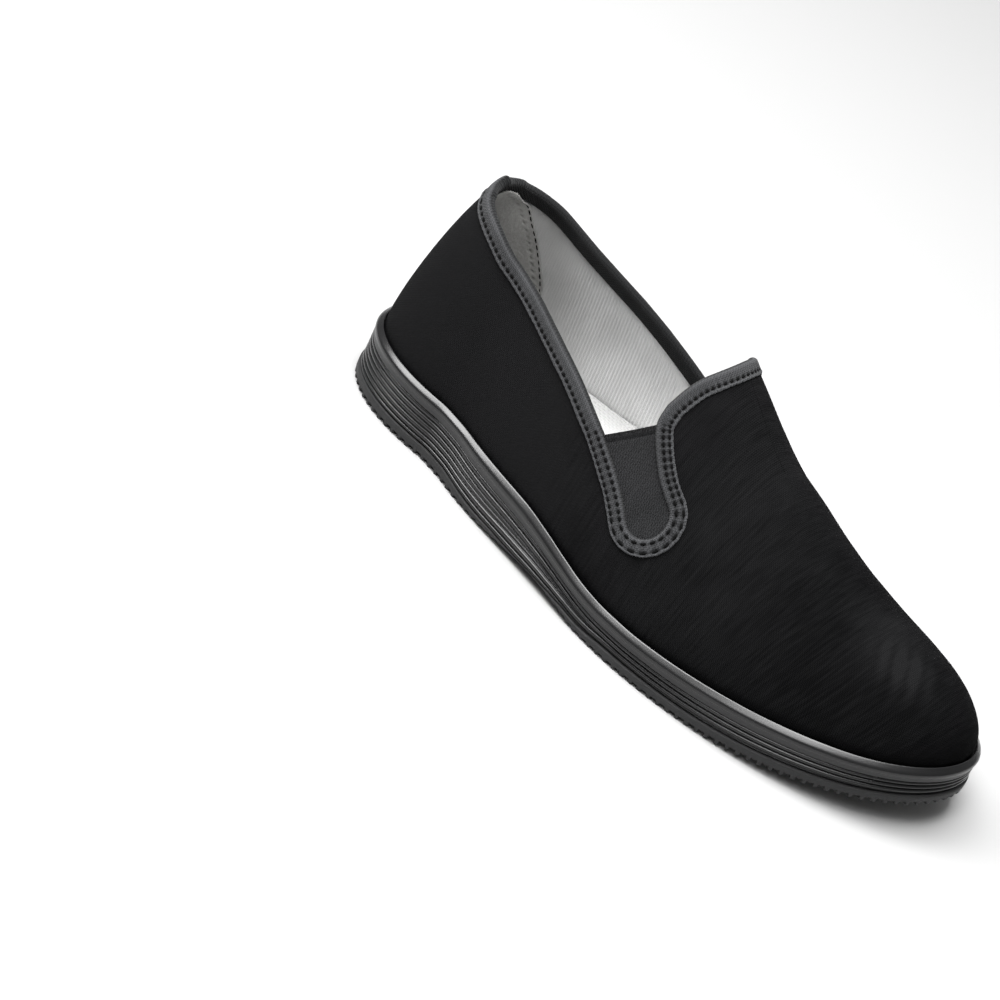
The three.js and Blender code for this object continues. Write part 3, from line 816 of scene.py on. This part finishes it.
upper_turns = np.append(outline(430), 6.0)
upper_climbs = np.concatenate([[-2.0, -1.0], np.linspace(0, 1, 84)])
canvas_edge = 1.6
canvas = wrap(cut_cloth(upper_turns, upper_climbs,
                        [lambda turn, climb: from_topline(on_last(turn, climb)) - canvas_edge]),
              "canvas_upper", 0.0, canvas_relief, wall=canvas_thick, tone=canvas_tone)
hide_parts("upper")

# Plain weave: threads that pass over and under each other, on the cloth's flat map
weave_group, weave_in, weave_out = new_group(
    "plain_weave", [("Vector", "NodeSocketVector", None), ("Threads per metre", "NodeSocketFloat", 1700.0),
                    ("Slant", "NodeSocketFloat", 0.0)],
    [("Height", "NodeSocketFloat"), ("Across", "NodeSocketFloat")])
parted = add_node(weave_group, "ShaderNodeSeparateXYZ", {0: weave_in.outputs["Vector"]})
ripple = add_node(weave_group, "ShaderNodeTexNoise", {"Vector": weave_in.outputs["Vector"], "Scale": 55.0})
wander = maths(weave_group, "MULTIPLY_ADD", ripple.outputs[0], 0.0016, -0.0008)
turned = maths(weave_group, "MULTIPLY", parted.outputs["Y"], weave_in.outputs["Slant"])
warp_at = maths(weave_group, "ADD", maths(weave_group, "ADD", parted.outputs["X"], turned), wander)
weft_at = maths(weave_group, "ADD", parted.outputs["Y"], wander)
half_turns = maths(weave_group, "MULTIPLY", weave_in.outputs["Threads per metre"], math.pi)
warp_wave = maths(weave_group, "SINE", maths(weave_group, "MULTIPLY", warp_at, half_turns))
weft_wave = maths(weave_group, "SINE", maths(weave_group, "MULTIPLY", weft_at, half_turns))
over = maths(weave_group, "GREATER_THAN", maths(weave_group, "MULTIPLY", warp_wave, weft_wave), 0.0)
warp_round = maths(weave_group, "ABSOLUTE", warp_wave)
weft_round = maths(weave_group, "ABSOLUTE", weft_wave)
picked = add_node(weave_group, "ShaderNodeMix", {0: over, 2: weft_round, 3: warp_round}, data_type="FLOAT")
weave_group.links.new(picked.outputs[0], weave_out.inputs["Height"])
weave_group.links.new(over, weave_out.inputs["Across"])


def make_cloth(name, dark, light, roughness, threads, slant=0.0, weave_depth=0.00022, fuzz=0.4, sheen=0.25,
               slub=0.3, specular=0.06):
    """A woven cloth: its weave, slubs and lint in the bump; in the colour its fading, its slubs,
    painted shade between the threads, and the piece's tone, which holds painted light on several pieces.
    """
    made, tree, shader = new_material(name, roughness, specular)
    cloth = add_node(tree, "ShaderNodeUVMap", uv_map="cloth").outputs[0]
    place = add_node(tree, "ShaderNodeTexCoord").outputs["Object"]
    weave = place_group(tree, weave_group, {"Vector": cloth, "Threads per metre": threads, "Slant": slant})
    grain = place_group(tree, grain_group, {"Vector": place, "Grains per metre": 1500.0})
    fade = maths(tree, "MULTIPLY_ADD", grain["Slow"], 1.6, -0.3)
    drawn = add_node(tree, "ShaderNodeMapping", {"Vector": cloth, "Scale": (1.0, 0.07, 1.0)}).outputs[0]
    slubs = add_node(tree, "ShaderNodeTexNoise", {"Vector": drawn, "Scale": 950.0, "Detail": 2.0}).outputs[0]
    slubs = maths(tree, "MULTIPLY_ADD", slubs, 2.2, -0.6)
    # The weave's height also goes into the colour, so the gaps between threads get painted shade.
    threaded = maths(tree, "MULTIPLY_ADD", weave["Height"], 0.22, maths(tree, "MULTIPLY", fade, 0.5))
    threaded = maths(tree, "MULTIPLY_ADD", slubs, slub, threaded)
    tone = add_node(tree, "ShaderNodeAttribute", attribute_name="tone").outputs["Fac"]
    threaded = maths(tree, "ADD", threaded, tone)
    tree.links.new(blend_colours(tree, threaded, (*dark, 1), (*light, 1)), shader.inputs["Base Color"])
    height = maths(tree, "MULTIPLY_ADD", grain["Fine"], fuzz, weave["Height"])
    height = maths(tree, "MULTIPLY_ADD", slubs, slub, height)
    bump = add_node(tree, "ShaderNodeBump", {"Height": height, "Strength": 0.8, "Distance": weave_depth})
    tree.links.new(bump.outputs[0], shader.inputs["Normal"])
    shader.inputs["Sheen Weight"].default_value = sheen
    shader.inputs["Sheen Roughness"].default_value = 0.6
    return made


canvas.data.materials.append(make_cloth(
    "canvas_black", (0.0026, 0.0026, 0.0028), (0.0105, 0.0105, 0.011), 0.9, 1700.0,
    sheen=0.0, slub=0.5, specular=0.03))

# The lining. It is a pale brushed cotton twill, sewn in behind the canvas, and it shows on
# the inside of the quarters and under the vamp.
lining_offset = -cloth_wall
lining_turns = np.append(outline(300), 6.0)
lining_climbs = np.concatenate([[-1.5, 0.0], np.linspace(0.02, 1, 60)])


def lining_relief(points, turn, climb):
    """Height of the lining: fine diagonal creases near the gores and a slow unevenness."""
    x, y, z = points.T
    near_gore = soft_ridge(x - 112, 24) * soft_ridge(z - 52, 18)
    creases = 0.22 * near_gore * np.sin(1.05 * (0.72 * x + 0.7 * z) + 0.8 * np.sin(0.09 * z)) ** 3
    return creases + 0.12 * np.sin(0.10 * x) * np.sin(0.13 * z + 0.6)


def lining_margin(turn, climb):
    """Distance of the lining's face from the topline."""
    base = on_last(turn, climb)
    return from_topline(base + lining_offset * outward(base)) - canvas_edge


def lining_painted_light(points, turn, climb):
    """Painted light and shade on the lining: darker towards the heel, lighter towards the front and top."""
    return np.clip((points[:, 0] - 68) / 55, -0.5, 0.8) + 0.3 * np.clip((points[:, 2] - 55) / 20, 0, 1)


lining = wrap(cut_cloth(lining_turns, lining_climbs, [lining_margin]), "lining",
              lining_offset, lining_relief, wall=-0.7, tone=lining_painted_light)
lining.data.materials.append(make_cloth(
    "lining_grey", (0.40, 0.40, 0.396), (0.84, 0.84, 0.835), 0.9, 1500.0,
    slant=1.0, weave_depth=0.00013, fuzz=2.2, sheen=0.1, slub=0.07))

# The heel grip. It is a patch of thin grey suede sewn over the lining at the back of the
# heel, with its frayed top edge laid over the tape and black stitches down both sides.
GRIP = {
    "along": [36, 48.5, 52, 59.5, 65, 72, 77.5, 83.5, 90],
    "forward": [30, 38, 37.5, 34.5, 32, 28.5, 25.5, 23, 19.5],
}
grip_edge = column(GRIP, "forward")
grip_offset = lining_offset - 0.12


def grip_side(turn, climb):
    """Distance in front of which the patch ends, from its edge line against height."""
    base = on_last(turn, climb)
    return grip_edge(base[..., 2]) - base[..., 0]


def grip_top(turn, climb):
    """Distance below the patch's frayed top edge, and above its rounded foot."""
    base = on_last(turn, climb)
    fray = 0.5 * np.sin(turn * 61) * np.sin(turn * 37 + 1) + 0.35 * np.sin(turn * 143)
    top = from_topline(base) - 3.4 - 0.5 * fray - 3.0 * np.clip(np.abs(base[..., 1]) / 14, 0, 1) ** 3
    foot = base[..., 2] - 36 - 0.012 * base[..., 1] ** 2
    return np.minimum(top, foot)


def grip_relief(points, turn, climb):
    """Height of the suede, inwards below 0: it climbs over the tape at the top, its edge is
    soft, and a row of needle dimples runs down inside each edge."""
    x, y, z = points.T
    over_tape = np.clip((7.6 - from_topline(points)) / 1.6, 0, 1)
    over_tape = over_tape * over_tape * (3 - 2 * over_tape)
    fringe = np.clip((from_topline(points) - 3.4) / 1.6, 0, 1)
    from_edge = grip_edge(z) - x
    dimple = soft_ridge(from_edge - 4.2, 0.7) * np.clip(np.sin(z * 2 * math.pi / 2.6) * 2, 0, 1)
    slow = 0.12 * np.sin(0.21 * z + 0.4 * x) + 0.08 * np.sin(0.37 * z - 0.5 * y)
    return -0.92 * over_tape - 0.12 + slow + 0.3 * dimple - 0.15 * fringe


def grip_tone(points, turn, climb):
    """Shade of the suede: pale at its frayed top edge and lighter towards the top, with
    painted shade darkening the needle dimples."""
    x, y, z = points.T
    from_edge = grip_edge(z) - x
    dimple = soft_ridge(from_edge - 4.2, 0.8) * np.clip(np.sin(z * 2 * math.pi / 2.6) * 2, 0, 1)
    pale = 0.9 * soft_ridge(from_topline(points) - 3.6, 1.5) + 0.5 * np.clip((z - 68) / 18, 0, 1)
    # The dimples' darkening is painted shade in the sunk needle holes.
    return pale - 0.4 * dimple


grip_turns = np.linspace(-1.05, 1.05, 420)
grip_climbs = np.linspace(0.08, 0.78, 190)
grip = wrap(cut_cloth(grip_turns, grip_climbs, [grip_side, grip_top]), "heel_grip",
            grip_offset, grip_relief, wall=0.55, tone=grip_tone)
suede, tree, shader = new_material("suede_grey", 0.95, 0.15)
place = add_node(tree, "ShaderNodeTexCoord").outputs["Object"]
grain = place_group(tree, grain_group, {"Vector": place, "Grains per metre": 900.0})
share = maths(tree, "MULTIPLY_ADD", grain["Slow"], 1.8, -0.4)
share = maths(tree, "MULTIPLY_ADD", grain["Fine"], 0.5, maths(tree, "MULTIPLY", share, 0.5))
tone = add_node(tree, "ShaderNodeAttribute", attribute_name="tone").outputs["Fac"]
share = maths(tree, "ADD", share, tone)
colour = blend_colours(tree, share, (0.085, 0.084, 0.079, 1), (0.40, 0.396, 0.384, 1))
tree.links.new(colour, shader.inputs["Base Color"])
bump = add_node(tree, "ShaderNodeBump", {"Height": grain["Fine"], "Strength": 0.6, "Distance": 0.0006})
tree.links.new(bump.outputs[0], shader.inputs["Normal"])
grip.data.materials.append(suede)

# The footbed. It is a thin board under brushed cotton, laid in on the sole and rounded at
# its edge.
bed_turns = outline(220)
bed_x = rim(bed_turns)[0]
bed_edge = -cloth_wall - 0.9
BED = [(-2.0, 0.0), (3.9, 0.0), (4.5, -0.15), (4.7, -0.6), (4.4, -1.3), (3.6, -2.7), (2.9, -4.6),
       (2.35, -7.0)]
bed_rings = []
for rise, outward_by in BED:
    x, y = beside(bed_turns, bed_edge + outward_by)
    bed_rings.append(np.stack([x, y, feather(bed_x) + rise], -1))
bed_top = to_middle(bed_rings[-1], lambda x: feather(x) + 2.0, (0.12, 0.4, 0.75, 1))
bed_under = to_middle(bed_rings[0], lambda x: feather(x) - 2.0, (1, 0.5))
bed_rows = bed_under + bed_rings + bed_top
bed_points = np.concatenate(bed_rows)
insole = new_piece("footbed", bed_points, grid_faces(len(bed_rows), len(bed_turns)),
                   uv=bed_points[:, :2] * MM)
insole.data.materials.append(make_cloth(
    "footbed_grey", (0.42, 0.42, 0.416), (0.56, 0.56, 0.555), 0.92, 900.0, fuzz=1.2, slub=0.07))
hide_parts("insole")

# The gores. Each is a panel of covered elastic, finely ribbed across its stretch, with its
# top edge turned over. It is sewn between canvas and lining all round its notch.
gore_back = collar_points[-1]
gore_front = throat_points[1] + [0.4, 2.6]
gore_run = gore_front - gore_back
gore_depth = 1.0
gore_hem = 2.1
# Width of the top strip of each gore that is darkened as painted shade along its fold.
gore_fold = 0.8


def below_gore_top(points):
    """Distance in side view below the straight top edge of the gore."""
    side = (points[..., 0] - gore_back[0]) * gore_run[1] - (points[..., 2] - gore_back[1]) * gore_run[0]
    return side / np.hypot(*gore_run)


def gore_relief(points, turn, climb):
    """Height of the elastic: the turned hem stands a little proud, and the middle sags."""
    hem = np.clip((gore_hem - below_gore_top(points)) / 0.25, 0, 1)
    seam = soft_ridge(below_gore_top(points) - gore_hem - 0.35, 0.35)
    return 0.42 * hem - 0.5 * seam - 0.5 * soft_ridge(from_topline(points) + 8, 5)


elastic = make_cloth("elastic_charcoal", (0.006, 0.006, 0.0063), (0.026, 0.0265, 0.028), 0.85,
                     1150.0, weave_depth=0.0004, fuzz=2.2, sheen=0.05)
for side_name, first_turn, last_turn, node in (("outer", 1.35, 2.1, "gore_lateral"),
                                               ("inner", 3.9, 4.65, "gore_medial")):
    pattern = cut_cloth(
        np.linspace(first_turn, last_turn, 130), np.linspace(0.2, 0.75, 110),
        [lambda turn, climb: 1.0 - from_topline(on_last(turn, climb)),
         lambda turn, climb: below_gore_top(on_last(turn, climb)),
         lambda turn, climb: 40 - np.hypot(*(on_last(turn, climb)[..., [0, 2]] - gore_foot).T)])
    # The tone darkens the gore's top strip: painted shade on the turned fold.
    gore = wrap(pattern, f"elastic_{side_name}", 0.4 - gore_depth, gore_relief,
                wall=0.9, tone=lambda base, turn, climb: -0.9 * (below_gore_top(base) < gore_fold))
    gore.data.materials.append(elastic)
    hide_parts(node)

# The binding. It is a charcoal tape folded over the raw edge of canvas and lining, all
# round the opening and down round both gores, and stitched through. It puckers slightly
# between the stitches, and its ends meet in a small peak at the back of the heel.
stitch_pitch = 2.7
hinge_point = len(through(collar_points)) - 1


def last_beside(x, z, side):
    """Points of the last at places in side view, on one side of the middle line. Their
    distance from it is found by halving a stretch of 75 mm forty times."""
    low, high = np.zeros(len(x)), np.full(len(x), 75.0)
    for _ in range(40):
        middle = (low + high) / 2
        within = depth_in(np.stack([x, side * middle, z], -1)) > 0
        low, high = np.where(within, middle, low), np.where(within, high, middle)
    return np.stack([x, side * low, z], -1)


def topline_loop(count):
    """The topline on the last as a loop from the back of the heel by the outer side to the
    throat and back by the inner side, evenly spaced, as (points, place along the topline in
    side view from the gore's hinge)."""
    length = run_length(*topline.T)
    fine = np.linspace(0, length[-1], 8001)
    spots = np.stack([np.interp(fine, length, topline[:, 0]), np.interp(fine, length, topline[:, 1])], -1)
    on_middle = np.stack([spots[:, 0], 0 * fine, spots[:, 1]], -1)
    inside = np.flatnonzero(depth_in(on_middle) > 0)
    ease = (1 - np.cos(math.pi * np.linspace(0, 1, 1500))) / 2
    at = fine[inside[0]] + (fine[inside[-1]] - fine[inside[0]]) * ease
    spots = np.stack([np.interp(at, length, topline[:, 0]), np.interp(at, length, topline[:, 1])], -1)
    halves = np.stack([last_beside(*spots.T, side) for side in (-1, 1)])
    halves[:, [0, -1], 1] = 0
    loop = np.concatenate([halves[0], halves[1][-2::-1]])
    place = np.concatenate([at, at[-2::-1]]) - length[hinge_point]
    run = run_length(*loop.T)
    even = np.arange(count) / count * run[-1]
    points = np.stack([np.interp(even, run, loop[:, i]) for i in range(3)], -1)
    return points, np.interp(even, run, place), run[-1]


loop_count = 1280
loop_points, loop_place, loop_length = topline_loop(loop_count)
for _ in range(6):
    loop_points = (np.roll(loop_points, 1, 0) + 2 * loop_points + np.roll(loop_points, -1, 0)) / 4
loop_run = np.arange(loop_count) / loop_count * loop_length
ahead = np.roll(loop_points, -2, 0) - np.roll(loop_points, 2, 0)
ahead /= np.linalg.norm(ahead, axis=1, keepdims=True)
into_cloth = np.cross(ahead, outward(loop_points))
into_cloth /= np.linalg.norm(into_cloth, axis=1, keepdims=True)
if from_topline(loop_points + 2 * into_cloth).mean() < 0:
    into_cloth = -into_cloth
stitch_count = round(loop_length / stitch_pitch)
stitch_phase = 2 * math.pi * stitch_count * loop_run / loop_length
from_heel = np.minimum(loop_run, loop_length - loop_run)
gore_end = run_length(*topline[hinge_point:].T)[-1] - run_length(*through(throat_points[1:]).T)[-1]
beside_gore = np.clip((loop_place + 3) / 2, 0, 1) * np.clip((gore_end + 3 - loop_place) / 2, 0, 1)
front_arm = np.clip((loop_place / gore_end - 0.52) / 0.2, 0, 1)
outer_row = 4.75 + 0.45 * beside_gore
inner_row = 1.95 + 1.05 * front_arm


def tape_skin(into, raised, place=slice(None)):
    """Points of the tape: so far into the cloth along the last, and raised so far off it."""
    point = onto_last(loop_points[place] + into[..., None] * into_cloth[place])
    return point + raised[..., None] * outward(point)


TAPE = [(6.38, 0.02), (6.52, 0.42), (6.42, 0.85), (6.12, 1.06), (5.8, 1.04), (5.45, 0.98), (5.1, 0.95),
        (4.75, 0.94), (4.4, 0.95), (4.0, 0.98), (3.6, 1.0), (3.2, 1.02), (2.8, 1.04), (2.4, 1.05),
        (2.0, 1.05), (1.6, 1.03), (1.2, 0.93), (0.75, 0.66), (0.35, 0.2), (0.08, -0.4), (0.0, -1.0),
        (0.08, -1.6), (0.35, -2.2), (0.75, -2.62), (1.25, -2.88), (2.0, -2.98), (3.0, -2.96),
        (4.2, -2.92), (5.4, -2.88), (6.1, -2.8), (6.35, -2.5), (6.3, -2.02), (1.3, -2.02), (1.3, 0.02)]
tape_rows = []
tape_painted_lights = []
for into, raised in TAPE:
    into = into * np.ones(loop_count)
    raised = raised * np.ones(loop_count)
    # The tape's tone is painted light: painted highlights on its raised outer edge and on the fold, painted
    # shade in the fold's crease and over the whole inner face.
    tape_painted_light = 1.5 * soft_ridge(into - 6.2, 0.5) + 0.35 * soft_ridge(into - 0.9, 0.8)
    tape_painted_light = np.where(raised > -1, tape_painted_light - 0.9 * soft_ridge(into, 0.4), -0.9)
    if raised[0] > 0.1:
        # Along each stitch row: painted shade in the groove and the stitch holes, painted highlights on the
        # puckers between them.
        for row, strength in ((outer_row, 1.0), (inner_row, beside_gore)):
            holed = 0.5 + 0.5 * np.cos(stitch_phase)
            tape_painted_light = tape_painted_light - strength * (0.6 + 0.8 * holed) * soft_ridge(into - row, 0.65)
            tape_painted_light = tape_painted_light + strength * 0.35 * (1 - holed) * soft_ridge(into - row, 1.5)
            groove = soft_ridge(into - row, 0.62)
            raised -= strength * groove * (0.36 + 0.24 * np.cos(stitch_phase))
            raised -= strength * 0.07 * soft_ridge(into - row, 1.6) * np.cos(stitch_phase)
        raised += 0.10 * front_arm * beside_gore * soft_ridge(into - 1.3, 0.9)
        raised += 0.05 * np.sin(loop_run / 3.1 + 2 * np.sin(loop_run / 9)) * np.sin(into)
    if abs(into[0] - 6.4) < 0.2:
        into = into + 0.10 * np.sin(loop_run / 2.3) * np.sin(loop_run / 7.7) + 0.07 * np.cos(stitch_phase)
    edge_share = np.clip((3.2 - into) / 3.2, 0, 1)
    into = into - 2.6 * edge_share * np.exp(-(from_heel / 2.6) ** 1.3)
    raised = raised + 0.5 * edge_share * soft_ridge(from_heel, 3) * np.sign(raised + 1)
    tape_rows.append(tape_skin(into, raised))
    tape_painted_lights.append(tape_painted_light)
tape_rows.append(tape_rows[0])
tape_painted_lights = np.stack([*tape_painted_lights, tape_painted_lights[0]], 1)
tape_painted_lights = np.concatenate([tape_painted_lights, tape_painted_lights[:1]])
tape_points = np.stack(tape_rows, 1)
tape_points = np.concatenate([tape_points, tape_points[:1]])
tape_run = np.append(loop_run, loop_length)
tape_into = np.array([into if raised > -1 else -into for into, raised in TAPE] + [TAPE[0][0]])
tape_map = np.stack([np.repeat(tape_run, len(tape_into)), np.tile(tape_into, len(tape_run))], -1) * MM
binding = new_piece("binding_tape", tape_points.reshape(-1, 3),
                    grid_faces(*tape_points.shape[:2], close_columns=False), uv=tape_map,
                    masks={"tone": tape_painted_lights.ravel()})
binding.data.materials.append(make_cloth(
    "tape_charcoal", (0.007, 0.0072, 0.0077), (0.054, 0.055, 0.058), 0.8, 1500.0,
    weave_depth=0.0003, fuzz=1.0, sheen=0.08))
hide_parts("edge_binding")


def thread_run(starts, ends, out, thickness, name):
    """Stitches as one mesh: each a small sunk loop of thread, eight points round and five
    along, thickest in the middle and turned down at both ends."""
    share = np.array([0.0, 0.12, 0.5, 0.88, 1.0])
    wide = np.array([0.25, 0.85, 1.0, 0.85, 0.25]) * thickness
    sink = np.array([0.9, 0.25, 0.0, 0.25, 0.9]) * thickness
    middle = starts[:, None] + (ends - starts)[:, None] * share[:, None] - sink[:, None] * out[:, None]
    forward = ends - starts
    forward /= np.linalg.norm(forward, axis=-1, keepdims=True)
    beside_it = np.cross(forward, out)
    turn = np.arange(8) * math.pi / 4
    ring = np.cos(turn)[:, None] * beside_it[:, None] + np.sin(turn)[:, None] * out[:, None]
    points = middle[:, :, None] + wide[:, None, None] * ring[:, None]
    caps = np.repeat(middle[:, [0, -1], None], 8, 2)
    points = np.concatenate([caps[:, :1], points, caps[:, 1:]], 1)
    count = points.shape[0]
    faces = grid_faces(7, 8)[None] + np.arange(count)[:, None, None] * 56
    return new_piece(name, points.reshape(-1, 3), faces.reshape(-1, 4))


stitch_at = np.arange(stitch_count) * loop_length / stitch_count
stitch_half = 0.34 * stitch_pitch


def row_points(row, at, raised):
    """Places on the tape at distances round the loop, on a row of stitches."""
    column_at = np.mod(at / loop_length * loop_count, loop_count)
    first = np.floor(column_at).astype(int) % loop_count
    second = (first + 1) % loop_count
    share = (column_at - np.floor(column_at))[:, None]
    spine = loop_points[first] * (1 - share) + loop_points[second] * share
    into = into_cloth[first] * (1 - share) + into_cloth[second] * share
    point = onto_last(spine + row[first][:, None] * into)
    out = outward(point)
    return point + raised * out, out


starts, out_a = row_points(outer_row + 0.12, stitch_at - stitch_half, 0.62)
ends, out_b = row_points(outer_row - 0.12, stitch_at + stitch_half, 0.62)
in_gore = beside_gore[np.round(stitch_at / loop_length * loop_count).astype(int) % loop_count] > 0.5
inner_at = stitch_at[in_gore]
inner_starts, in_a = row_points(inner_row + 0.12, inner_at - stitch_half, 0.68)
inner_ends, in_b = row_points(inner_row - 0.12, inner_at + stitch_half, 0.68)
thread_out = np.concatenate([out_a + out_b, in_a + in_b])
thread_out /= np.linalg.norm(thread_out, axis=1, keepdims=True)
stitches = thread_run(np.concatenate([starts, inner_starts]), np.concatenate([ends, inner_ends]), thread_out,
                      0.40, "binding_stitches")
thread, tree, shader = new_material("thread_black", 0.9, 0.05)
shader.inputs["Base Color"].default_value = (0.004, 0.004, 0.004, 1)
stitches.data.materials.append(thread)

# The heel grip's own stitches, sunk in its suede along both edges
grip_z = np.arange(38.5, 86.5, 2.7)
grip_ends = []
for step_z in (-1.12, 1.12):
    edge_x = grip_edge(grip_z + step_z) - 0.75
    grip_ends.append(np.concatenate([last_beside(edge_x, grip_z + step_z, side) for side in (-1, 1)]))
kept = from_topline(grip_ends[1]) > 6.4
grip_starts, grip_stops = grip_ends[0][kept], grip_ends[1][kept]
grip_in = -outward((grip_starts + grip_stops) / 2)
grip_starts, grip_stops = (ends + grip_in * (-grip_offset + 0.62) for ends in (grip_starts, grip_stops))
grip_thread = thread_run(grip_starts, grip_stops, grip_in, 0.34, "grip_stitches")
grip_thread.data.materials.append(thread)

# The stage: a plain pale floor, the photo's camera, and large soft lights overhead. The two
# oblong ones lie along the shoe and draw the bright line on the sole's lip.
floor_material, tree, shader = new_material("floor_white", 0.85, 0.2)
shader.inputs["Base Color"].default_value = (0.44, 0.44, 0.44, 1)
floor_mesh = bpy.data.meshes.new("floor")
floor_mesh.from_pydata([(-4, -4, 0), (4, -4, 0), (4, 4, 0), (-4, 4, 0)], [], [(0, 1, 2, 3)])
floor = bpy.data.objects.new("floor", floor_mesh)
floor_mesh.materials.append(floor_material)
bpy.context.scene.collection.objects.link(floor)

look = np.array([-0.34405, 0.76991, -0.53747])
image_right = np.array([0.72204, 0.58286, 0.37274])
image_up = np.cross(image_right, look)
camera_data = bpy.data.cameras.new("camera")
camera_data.lens = 121.3
camera_data.clip_end = 20
camera = bpy.data.objects.new("camera", camera_data)
turned = np.eye(4)
turned[:3, 0], turned[:3, 1], turned[:3, 2] = image_right, image_up, -look
turned[:3, 3] = (0.36588, -0.96139, 0.65820)
camera.matrix_world = Matrix(turned)
bpy.context.scene.collection.objects.link(camera)
bpy.context.scene.camera = camera

world = bpy.data.worlds.new("studio")
world.use_nodes = True
world.node_tree.nodes["Background"].inputs["Color"].default_value = (1, 1, 1, 1)
world.node_tree.nodes["Background"].inputs["Strength"].default_value = 0.28
bpy.context.scene.world = world
bpy.context.scene.view_settings.view_transform = "Standard"


def soft_light(name, spot, aim, size, power):
    """A large oblong light at a spot, turned to face another, wide and tall by its size."""
    lamp = bpy.data.lights.new(name, "AREA")
    lamp.shape = "RECTANGLE"
    lamp.size, lamp.size_y = size
    lamp.energy = power
    light = bpy.data.objects.new(name, lamp)
    light.location = spot
    light.rotation_euler = (Vector(aim) - Vector(spot)).to_track_quat("-Z", "Y").to_euler()
    bpy.context.scene.collection.objects.link(light)


soft_light("key", (-0.62, -0.20, 1.12), (0, 0, 0), (0.5, 0.9), 22)
soft_light("above", (0.06, -0.16, 1.28), (0, 0, 0), (0.45, 0.9), 18)
soft_light("front", (0.12, -0.80, 1.15), (0, 0, 0), (0.5, 0.5), 5)
soft_light("behind", (-0.15, 0.8, 1.3), (0, 0, 0), (1.2, 1.2), 4)
